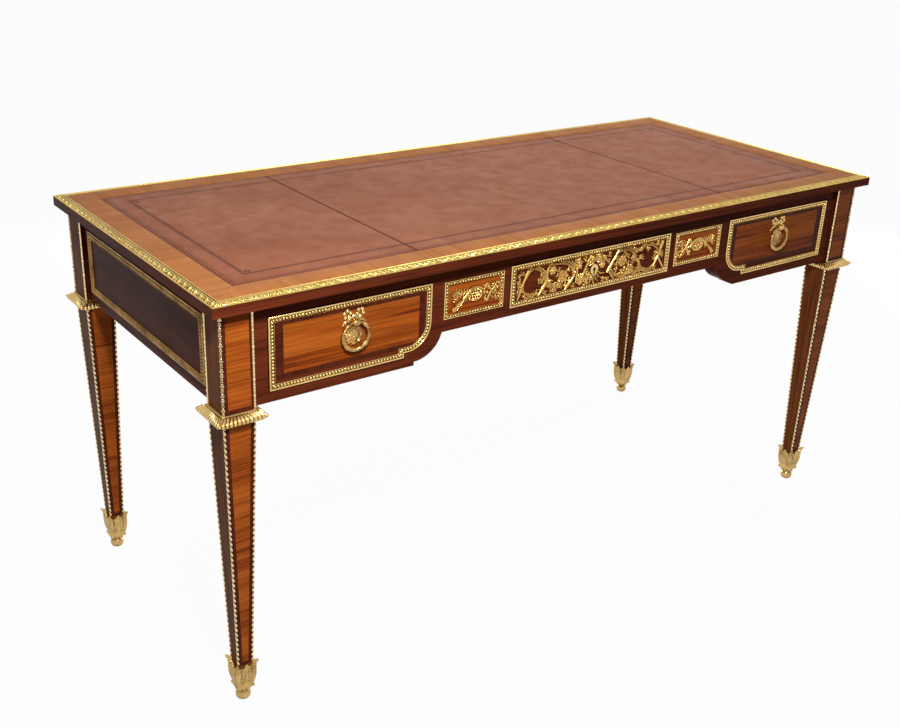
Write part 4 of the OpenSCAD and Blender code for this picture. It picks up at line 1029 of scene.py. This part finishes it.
def add_centre_mount():
    """Scrolling acanthus of the centre drawer: fluted bands, trumpets, roses and leaves."""
    work = Relief(190.6, 29.8, 0.6)
    stem, leaf, rose = work.stem, work.leaf, work.rose

    def spray(cx, cz, size, turns, height=4.0, width=0.42):
        """Bent leaves that start from one point."""
        for turn in turns:
            a = 2 * math.pi * turn
            bend = a + 0.5
            far = (cx + size * math.cos(a), cz + size * math.sin(a))
            middle = (cx + 0.5 * size * math.cos(bend), cz + 0.5 * size * math.sin(bend))
            leaf([(cx, cz), middle, far], width * size, height, 3)

    def trumpet(*points):
        """Smooth stalk that swells towards its mouth."""
        stem(points, (1.8, 2.6, 3.8, 4.4, 2.2), 4.9, 0.0)

    def band(width, height, flutes, *points):
        """Fluted band that follows a scroll."""
        stem(points, width, height, 0.2, flutes)

    # Left end: a trumpet against the frame, with pointed leaves
    stem([(-190, -27), (-184, -16), (-180, -3), (-173, 11), (-165, 23)], (1.8, 3.2, 2.2, 3.2, 4.6), 4.8, 0.0)
    spray(-181, 0, 14, (0.29, 0.36, 0.43, 0.5), 3.6, 0.2)
    leaf([(-171, 16), (-177, 22), (-186, 28)], 3.6, 3.8)
    leaf([(-182, -8), (-188, -12), (-190, -20)], 3.2, 3.6)
    # First ring and its leaves
    band((3.6, 4.2, 4.8, 4.8, 3.0), 4.6, 4, (-168, 19), (-158, 26.5), (-142, 26), (-129, 17), (-123, 6))
    band((2.0, 2.6, 3.6, 4.4, 3.4), 4.0, 3, (-176, 6), (-177, -8), (-170, -19), (-156, -24.5), (-141, -24))
    for x, z in ((-172, -22), (-162, -26), (-151, -27), (-143, -20)):
        spray(x, z, 7.5, (0.12, 0.42, 0.75), 4.4, 0.36)
    spray(-127, 3, 17, (0.44, 0.5, 0.55), 3.8, 0.2)
    spray(-126, 11, 11, (0.1, 0.3, 0.5, 0.7, 0.9), 4.4)
    trumpet((-117, 26), (-120, 12), (-121, -2), (-130, -17), (-139, -27))
    # Leaves between the first ring and the first rose
    rose(-104, 15, 9.5, 6, 5.0)
    spray(-113, -8, 11, (0.05, 0.28, 0.55, 0.78), 4.2)
    spray(-101, -19, 11, (0.0, 0.2, 0.45, 0.6, 0.8), 4.4)
    spray(-91, -13, 9, (0.1, 0.4, 0.7, 0.9), 4.4)
    # First rose, under a broad fluted scroll
    band((2.6, 4.4, 5.2, 5.2, 4.4, 3.0), 4.8, 4,
         (-115, 24), (-101, 29), (-84, 28.5), (-66, 23), (-55, 11), (-53, -3))
    rose(-78, -1, 14.0, 7, 5.0)
    for x, z in ((-93, 4), (-90, 14), (-66, 12), (-64, -9), (-73, -18), (-84, -19)):
        spray(x, z, 7.0, (0.1, 0.45, 0.8), 3.8, 0.36)
    trumpet((-50, 4), (-54, -5), (-60, -14), (-68, -22), (-74, -28))
    # Between the rose and the keyhole
    spray(-43, 18, 13, (0.02, 0.17, 0.32, 0.5, 0.67, 0.84), 4.6)
    rose(-43, 18, 4.6, 5, 5.0)
    stem([(-13, 29.5), (-19, 17), (-24, 6), (-29, -5), (-33, -12)], (2.0, 2.6, 2.6, 2.8, 1.6), 5.0, 0.0)
    spray(-36, -13, 13, (0.0, 0.15, 0.35, 0.55, 0.75, 0.9), 4.4)
    rose(-34, -16, 5.0, 5, 4.8)
    spray(-21, -21, 10, (0.05, 0.3, 0.6, 0.85), 4.2)
    spray(-9, 19, 12, (0.0, 0.14, 0.28, 0.45, 0.62, 0.8), 4.6)
    stem([(-60, 28), (-52, 18), (-44, 4), (-46, -8)], (1.4, 2.2, 2.0, 1.4), 3.6)
    # Under and round the keyhole
    for turn in (0.56, 0.62, 0.68, 0.74, 0.8, 0.86, 0.92):
        a = 2 * math.pi * turn
        leaf([(11 * math.cos(a), 11 * math.sin(a)), (20 * math.cos(a), 20 * math.sin(a) - 1),
              (33 * math.cos(a + 0.1), 30 * math.sin(a + 0.1))], 3.0, 4.2, 3)
    spray(10, 21, 11, (0.0, 0.16, 0.34, 0.52, 0.72, 0.88), 4.4)
    rose(22, 6, 8.5, 6, 5.0)
    spray(24, 19, 9, (0.05, 0.3, 0.6, 0.85), 4.2)
    # Right of the keyhole: staff and fluted scroll round the second rose
    stem([(61, 29), (54, 18), (46, 6), (40, -4), (33, -11)], (2.2, 3.0, 3.2, 4.6, 2.4), 5.0, 0.0)
    stem([(38, -9), (45, -18), (54, -29)], (2.6, 2.8, 1.8), 4.2)
    band((3.4, 5.0, 5.2, 4.6, 3.0), 4.8, 4, (59, 24), (72, 28.5), (90, 26.5), (104, 17), (111, 3))
    rose(75, 4, 12.5, 7, 5.0)
    band((2.6, 3.8, 4.4, 4.2, 3.0), 4.4, 3, (45, -9), (55, -19), (70, -25.5), (86, -24), (97, -14))
    for x, z in ((60, 12), (58, 0), (90, 12), (91, -3)):
        spray(x, z, 7.0, (0.1, 0.4, 0.75), 3.8, 0.36)
    spray(97, -16, 12, (0.0, 0.16, 0.33, 0.5, 0.68, 0.85), 4.6)
    rose(96, -15, 4.8, 5, 5.0)
    spray(106, 2, 11, (0.1, 0.3, 0.55, 0.9), 4.2)
    # Two buds and the second open ring
    rose(113, 19, 6.0, 5, 5.0)
    rose(124, 20, 6.0, 5, 5.0)
    spray(102, 24, 8, (0.0, 0.4, 0.7), 4.0)
    band((3.4, 4.4, 4.4, 3.0, 2.0), 4.6, 4, (126, 23), (140, 27.5), (155, 25), (167, 16), (172, 2))
    band((3.6, 4.6, 4.8, 4.4, 3.0, 2.2), 4.4, 4,
         (119, -4), (123, -16), (137, -24.5), (153, -24), (165, -14), (172, 0))
    stem([(112, -1), (120, 2), (131, 0)], (2.8, 3.2, 1.4), 4.6)
    spray(121, 1, 13, (0.93, 0.02, 0.1), 3.8, 0.22)
    spray(166, -2, 12, (0.46, 0.55), 3.6, 0.2)
    spray(120, -20, 9, (0.4, 0.6, 0.8), 4.2)
    # Right end: crossed stems and small leaves
    stem([(160, -20), (166, -10), (172, 1), (177, 14), (182, 27)], (2.0, 3.0, 2.4, 3.4, 4.0), 4.9, 0.0)
    stem([(170, 4), (177, -10), (184, -20), (190, -28)], (1.6, 2.6, 2.6, 1.6), 4.0)
    spray(174, 0, 15, (0.9, 0.96, 0.02, 0.08), 3.8, 0.2)
    # Small leaves wherever a gap is left, but for the two open rings and the keyhole
    chance = np.random.default_rng(7)
    for x in np.arange(-186, 187, 7.0):
        for z in np.arange(-24, 25, 6.0):
            px, pz = x + chance.uniform(-1.5, 1.5), z + chance.uniform(-1.5, 1.5)
            turn = chance.uniform()
            ring_1 = math.hypot((px + 153) / 20.5, (pz - 2) / 18)
            ring_2 = math.hypot((px - 144) / 21.5, (pz + 2) / 18)
            near = np.hypot(work.x - px, work.z - pz) < 3.6
            if min(ring_1, ring_2, math.hypot(px, pz) / 14) > 1 and work.height[near].max() < 0:
                spray(px, pz, 6.4, (turn, turn + 0.34, turn + 0.67), 4.2, 0.44)
    hole = (np.hypot(work.x, work.z) < 10.6) | ((np.abs(work.x) < 5.6) & (work.z > -12.6) & (work.z < 0))
    work.height[hole] = -1.0
    work.build("scrolls_centre", MOUNT_BRONZE, "drawer_centre", "centre_mount",
               lambda x, z, h: (x, -FACE_Y - h, KEY_Z + z))


def add_trophies():
    """Quiver, basket of flowers and ribbons in each small frame; the right one is the mirror image."""
    cx = SMALL_HIGH[0] - SMALL_L / 2
    cz = (SMALL_LOW[2] + SMALL_HIGH[2]) / 2
    work = Relief(58.0, 26.5, 0.5)
    stem, leaf, rose = work.stem, work.leaf, work.rose
    # Quiver with its feathers
    for dx, dz in ((-12, 14), (-15, 7), (-15, -1), (-11, -8), (-5, 17), (3, 17)):
        leaf([(-38, 2), (-38 + dx * 0.5, 2 + dz * 0.6), (-38 + dx, 2 + dz)], 3.0, 3.8, 3)
    for x in (-33, -26, -20):
        leaf([(x, 2), (x + 1, 9), (x + 3, 16)], 3.2, 3.8, 3)
    stem([(-44, -20), (-36, -12), (-27, -4), (-18, 4), (-8, 11)], (5.4, 4.6, 3.4, 2.6, 1.8), 4.8, 0.0)
    for shift in (-2.6, 0.0, 2.6):
        stem([(-43 + shift, -19 - shift), (-27 + shift * 0.6, -4 - shift * 0.6)], (0.9, 0.6), 5.4, 0.0)
    # Basket of flowers under its handle
    stem([(-22, -8), (-14, 9), (0, 15), (14, 11), (24, 1)], (1.4, 2.6, 2.8, 2.4, 1.6), 4.4)
    work.hoop(1.5, 0.5, 14.5, 10.5, 2.4, 4.2, 28)
    for x in range(-9, 13, 5):
        for z in range(-7, 9, 5):
            rose(x + 1.5 * (z % 2), z, 2.9, 4, 3.4 + 0.25 * max(0, 9 - abs(x - 1)) ** 0.7)
    # Crossed stems, ribbon loops and leaves
    rose(21, 1, 5.2, 5, 5.0)
    rose(28, 0, 4.4, 5, 4.6)
    stem([(27, -15), (32, -6), (37, 2), (45, 10)], (3.0, 3.2, 2.8, 1.8), 4.8)
    stem([(27, 17), (32, 9), (38, 0), (46, -8)], (3.0, 3.2, 2.8, 1.8), 4.6)
    for x, z, dx, dz in ((22, 8, 2, 10), (24, -6, 0, -10), (38, 8, 6, 9), (38, -6, 6, -9)):
        leaf([(x, z), (x + dx * 0.5, z + dz * 0.6), (x + dx, z + dz)], 3.2, 4.0, 3)
    for s in SIDES:
        work.ring_of_roses(51, s * 10.5, 4.6, 5.4, 0.6, (3.3, 3, 4.2))
        leaf([(44, s * 2), (47, s * 12), (50, s * 20)], 2.8, 3.6, 3)
    rose(46, 0, 3.6, 4, 4.8)
    for side, name in HANDS:
        work.build(f"trophy_{name}", MOUNT_BRONZE, "table", "small_mounts",
                   lambda x, z, h: (side * (cx - x), -FACE_Y - h, cz + z))


# Ring pulls: the ring's two tips are a gap apart and turn on a pin through the knuckle between them
RING_GAP = 15.0
PIVOT_Z = RING_Z + math.sqrt(RING_R ** 2 - (RING_GAP / 2) ** 2)
RING_Y = (RING_LOW[1] + RING_HIGH[1]) / 2
BORE_R = 2.6


def barrel(centre, profile, count=24):
    """Rows of a form turned about the pull's pin."""
    turn = circle(count)
    return [np.stack([np.full(count, centre + x), RING_Y + r * np.cos(turn), PIVOT_Z + r * np.sin(turn)], -1)
            for x, r in profile]


def rosette(shape, centre):
    """Open flower behind the ring, in three whorls."""
    count = 96
    middle = RING_Z - 1.2
    turn = circle(count)
    lobe = np.abs(np.cos(turn * 4))
    fine = np.abs(np.cos(turn * 6 + 0.4))
    rows = []
    for r in (0.08, 0.2, 0.32, 0.4, 0.5, 0.62, 0.74, 0.86, 0.95, 1.0, 1.02):
        if r < 0.36:
            h = 6.8 - 4.5 * r ** 2 - 0.9 * (1 - fine) * r / 0.36
        elif r < 0.66:
            h = 5.4 - 3.4 * (r - 0.36) / 0.3 * (1.15 - 0.5 * fine)
        elif r < 1.02:
            h = 4.6 * arch(r - 0.66, 0.36) * (0.55 + 0.45 * lobe) + 0.2
        else:
            h = np.full(count, -0.8)
        size = 18.6 * r * (1 - 0.1 * (1 - lobe) * (r > 0.66))
        rows.append(np.stack([centre + size * np.cos(turn), -FACE_Y - h, middle + size * np.sin(turn)], -1))
    shape.grid(rows, loop_v=True)
    tip = np.vstack([rows[0], [[centre, -FACE_Y - 7.0, middle]]])
    shape.add(tip, [[(k, (k + 1) % count, count) for k in range(count)]])


def wreath(shape, centre):
    """Ring of overlapping leaves, bound by four ribbons, that thins out towards the pin."""
    leaf_l, thin = 3.9, 2.6
    count = 20
    gap = math.asin(RING_GAP / 2 / RING_R)
    around = circle(count)
    rows, marks = [], []
    for a in np.linspace(gap, 2 * math.pi - gap, 260):
        number, share = divmod(a * RING_R / leaf_l, 1.0)
        bound = abs(math.sin(2 * a)) > 0.965
        if bound:
            tube = np.full(count, 4.2)
        else:
            turn = 2 * around + number % 2 * 1.57
            tube = 2.8 + 1.4 * (1 - share) ** 0.7 * (0.35 + 0.65 * np.abs(np.cos(turn)))
        taper = min(1.0, (min(a - gap, 2 * math.pi - gap - a) + 0.05) / 0.18)
        tube = thin + (tube - thin) * taper
        radial = RING_R + tube * np.cos(around)
        rows.append(np.stack([centre + radial * math.sin(a), RING_Y + tube * np.sin(around),
                              RING_Z + radial * math.cos(a)], -1))
        # Painted shade where the tube is thin, between the leaves
        marks.append(np.zeros(count) if bound else 0.75 * unit((3.45 - tube) / 0.5))
    shape.grid(rows, loop_v=True, caps=True, grain=marked(marks))
    shape.grid(barrel(centre, [(-8.3, 2.45), (8.3, 2.45)], count), loop_v=True, caps=True)


def add_pulls():
    """Ribbon bow, knuckle, rosette and wreath ring on each side drawer."""
    half = [(1.5, 6.5), (4.0, 6.1), (6.0, 5.0), (6.9, 3.6), (7.0, BORE_R)]
    knuckle = [(-x, r) for x, r in half[::-1]] + half
    bow = Relief(26.0, 24.0, 0.45)
    for s in SIDES:
        bow.ring_of_roses(s * 12.6, 4.0, 6.2, 6.2, 0.1 * math.pi * (1 + s) + 0.3, (4.1, 1, 3.4))
        bow.stem([(0, -1), (s * 5, -3), (s * 10, -4)], (2.4, 2.8, 2.4), 3.0, 0.3)
        bow.stem([(s * 4, -4), (s * 12, -8), (s * 17, -9), (s * 23, -15)], (1.8, 2.8, 2.6, 1.8), 2.9, 0.3)
        bow.rose(s * 17, -8.5, 2.6, 3, 3.2)
    bow.rose(0, 0.5, 3.8, 4, 3.4)
    bow.stem([(0, -2), (0, -12), (0, -22)], (2.6, 2.6, 2.6), 2.4, 0.3)
    for side, name in HANDS:
        centre = side * PULL_X
        shape = Shape()
        rosette(shape, centre)
        shape.grid(barrel(centre, knuckle), loop_v=True)
        shape.grid(barrel(centre, [(-7, BORE_R), (7, BORE_R)]), loop_v=True)
        block = [[(centre + x, y, PIVOT_Z + z) for x, z in ((-3, -3), (3, -3), (3, 3), (-3, 3))]
                 for y in (RING_Y + 3.0, -FACE_Y + 1.0)]
        shape.grid(block, loop_v=True)
        shape.build(f"knuckle_{name}", [PULL_BRONZE], f"drawer_{name}", [f"pull_plate_{name}"], crease=50)
        bow.build(f"bow_{name}", BRONZE, f"drawer_{name}", f"pull_plate_{name}",
                  lambda x, z, h: (centre + x, -FACE_Y - min(h, 3.5), PIVOT_Z + 9.5 + z))
        shape = Shape()
        wreath(shape, centre)
        shape.build(f"wreath_{name}", [PULL_BRONZE], f"ring_{name}", [f"pull_ring_{name}"], crease=60)


def add_drawer_veneers():
    """Crossbanded tulipwood panels inside the frames, over the drawer fronts and the aprons."""
    lift, sunk = 0.25, 0.5
    lap = FRAME_W - 0.8
    small = SMALL_W - 0.6

    def panel(name, body, place, x0, x1, z0, z1, border):
        outline = [(x0, z0), (x1, z0), (x1, z1), (x0, z1)]
        face, under = ([place(x, z, h) for x, z in outline] for h in (lift, -sunk))
        shape = Shape()
        inlay(shape, face, border, 900 + x0)
        for i in range(4):
            j = (i + 1) % 4
            shape.polygon([face[i], face[j], under[j], under[i]])
        shape.build(name, [KINGWOOD, TULIPWOOD], body, slot="tulipwood", crease=20)

    for side, name in HANDS:
        for where, place, body in (("front", front(side), f"drawer_{name}"), ("back", back(side), "table")):
            panel(f"veneer_{where}_{name}", body, place, SIDE_LOW[0] + 14, SIDE_HIGH[0] - lap,
                  SIDE_LOW[2] + STEP_H + 8.5, SIDE_HIGH[2] - lap, (12.0, 17.0, 8.0, 8.0))
            panel(f"veneer_small_{where}_{name}", "table", place, SMALL_HIGH[0] - SMALL_L + small,
                  SMALL_HIGH[0] - small, SMALL_LOW[2] + small, SMALL_HIGH[2] - small, (0.5, 0.5, 0.5, 0.5))
    panel("veneer_back_centre", "table", back(1), MID_LOW[0] + lap, MID_HIGH[0] - lap, MID_LOW[2] + lap,
          MID_HIGH[2] - lap, (11.0, 11.0, 9.0, 9.0))


def dress_solids():
    """Materials of the solids that keep their own shape."""
    looks = {"mahogany": MAHOGANY, "oak": OAK, "steel": STEEL, "gilt_bronze": BRONZE, "tulipwood": MAHOGANY,
             "tan_veneer": TAN_VENEER, "leather": LEATHER}
    slots = {part["node"]: part["material_slot"] for part in frame["record"]["subparts"]}
    for name, solid in frame["nodes"].items():
        look = looks[slots[name]]
        if not solid.data.materials:
            solid.data.materials.append(look)
        for index in range(len(solid.material_slots)):
            solid.material_slots[index].material = look


def add_floor():
    """Pale floor that keeps a soft shadow and is all but white where it is looked at."""
    mesh = bpy.data.meshes.new("floor")
    work = bmesh.new()
    bmesh.ops.create_grid(work, x_segments=2, y_segments=2, size=14.0)
    work.to_mesh(mesh)
    work.free()
    look = Look(bpy.data.materials.new("floor"))
    place = look.object_place()
    tone = look.ramp(look.noise(place, 1.2, 3.0), 0.0, 1.0, 0.44, 0.5)
    look.finish(tone, 0.6, look.bump(look.noise(place, 30.0), 0.0001), specular=0.2)
    glow = look.add("ShaderNodeEmission", {"Color": (1, 1, 1, 1), "Strength": 1.0})
    share = look.math("MULTIPLY", look.seen(), 0.97)
    shaders = {1: look.tree.nodes["Principled BSDF"].outputs[0], 2: glow.outputs[0]}
    both = look.add("ShaderNodeMixShader", {0: share, **shaders})
    look.feed(look.tree.nodes["Material Output"], "Surface", both.outputs[0])
    mesh.materials.append(look.owner)
    ground = bpy.data.objects.new("floor", mesh)
    bpy.context.scene.collection.objects.link(ground)


def add_surroundings():
    """White all round where it is looked at, and a faint light from everywhere."""
    world = bpy.data.worlds.new("studio")
    sky = Look(world)
    background = sky.tree.nodes["Background"]
    sky.feed(background, "Color", (1, 1, 1, 1))
    sky.feed(background, "Strength", sky.ramp(sky.seen(), 0.0, 1.0, 0.05, 1.0))
    bpy.context.scene.world = world


def add_lamp(name, place, aim, size, power):
    """Round soft lamp, in metres and watts."""
    lamp = bpy.data.lights.new(name, "AREA")
    lamp.shape = "DISK"
    lamp.size = size
    lamp.energy = power
    made = bpy.data.objects.new(name, lamp)
    made.location = place
    made.rotation_euler = (Vector(aim) - Vector(place)).to_track_quat("-Z", "Y").to_euler()
    bpy.context.scene.collection.objects.link(made)


def add_camera():
    """Camera fitted to the corners of the top and to the four feet."""
    yaw, pitch, roll = 0.6472, 0.4165, 0.0422
    place = (-1.503, -1.865, 1.4287)
    picture_width = 900
    focal_pixels = 1172.5
    ahead = Vector((math.sin(yaw) * math.cos(pitch), math.cos(yaw) * math.cos(pitch), -math.sin(pitch)))
    level = Vector((math.cos(yaw), -math.sin(yaw), 0))
    upright = level.cross(ahead)
    right = level * math.cos(roll) + upright * math.sin(roll)
    up = upright * math.cos(roll) - level * math.sin(roll)
    data = bpy.data.cameras.new("camera")
    data.sensor_width = 36.0
    data.sensor_fit = "HORIZONTAL"
    data.lens = data.sensor_width * focal_pixels / picture_width
    data.clip_end = 100.0
    made = bpy.data.objects.new("camera", data)
    matrix = Matrix((right, up, -ahead)).transposed().to_4x4()
    matrix.translation = Vector(place)
    made.matrix_world = matrix
    bpy.context.scene.collection.objects.link(made)
    bpy.context.scene.camera = made


dress_solids()
add_frames()
add_edge_moulding()
add_top_band()
add_leather()
add_legs()
add_strips()
add_collars()
add_sabots()
add_centre_mount()
add_trophies()
add_pulls()
add_drawer_veneers()
add_floor()
add_surroundings()
add_lamp("key", (-1.0, -1.3, 1.8), (-1.05, -0.3, 0.6), 0.3, 31.0)
add_lamp("behind", (0.4, 2.6, 0.42), (0.0, 0.3, 0.5), 0.6, 34.0)
add_lamp("beside", (3.0, 0.55, 0.42), (0.8, 0.0, 0.5), 0.6, 26.0)
add_lamp("overhead", (0.6, 0.42, 2.2), (0.35, 0.15, 0.78), 1.2, 15.0)
add_camera()
bpy.context.scene.view_settings.view_transform = "Standard"
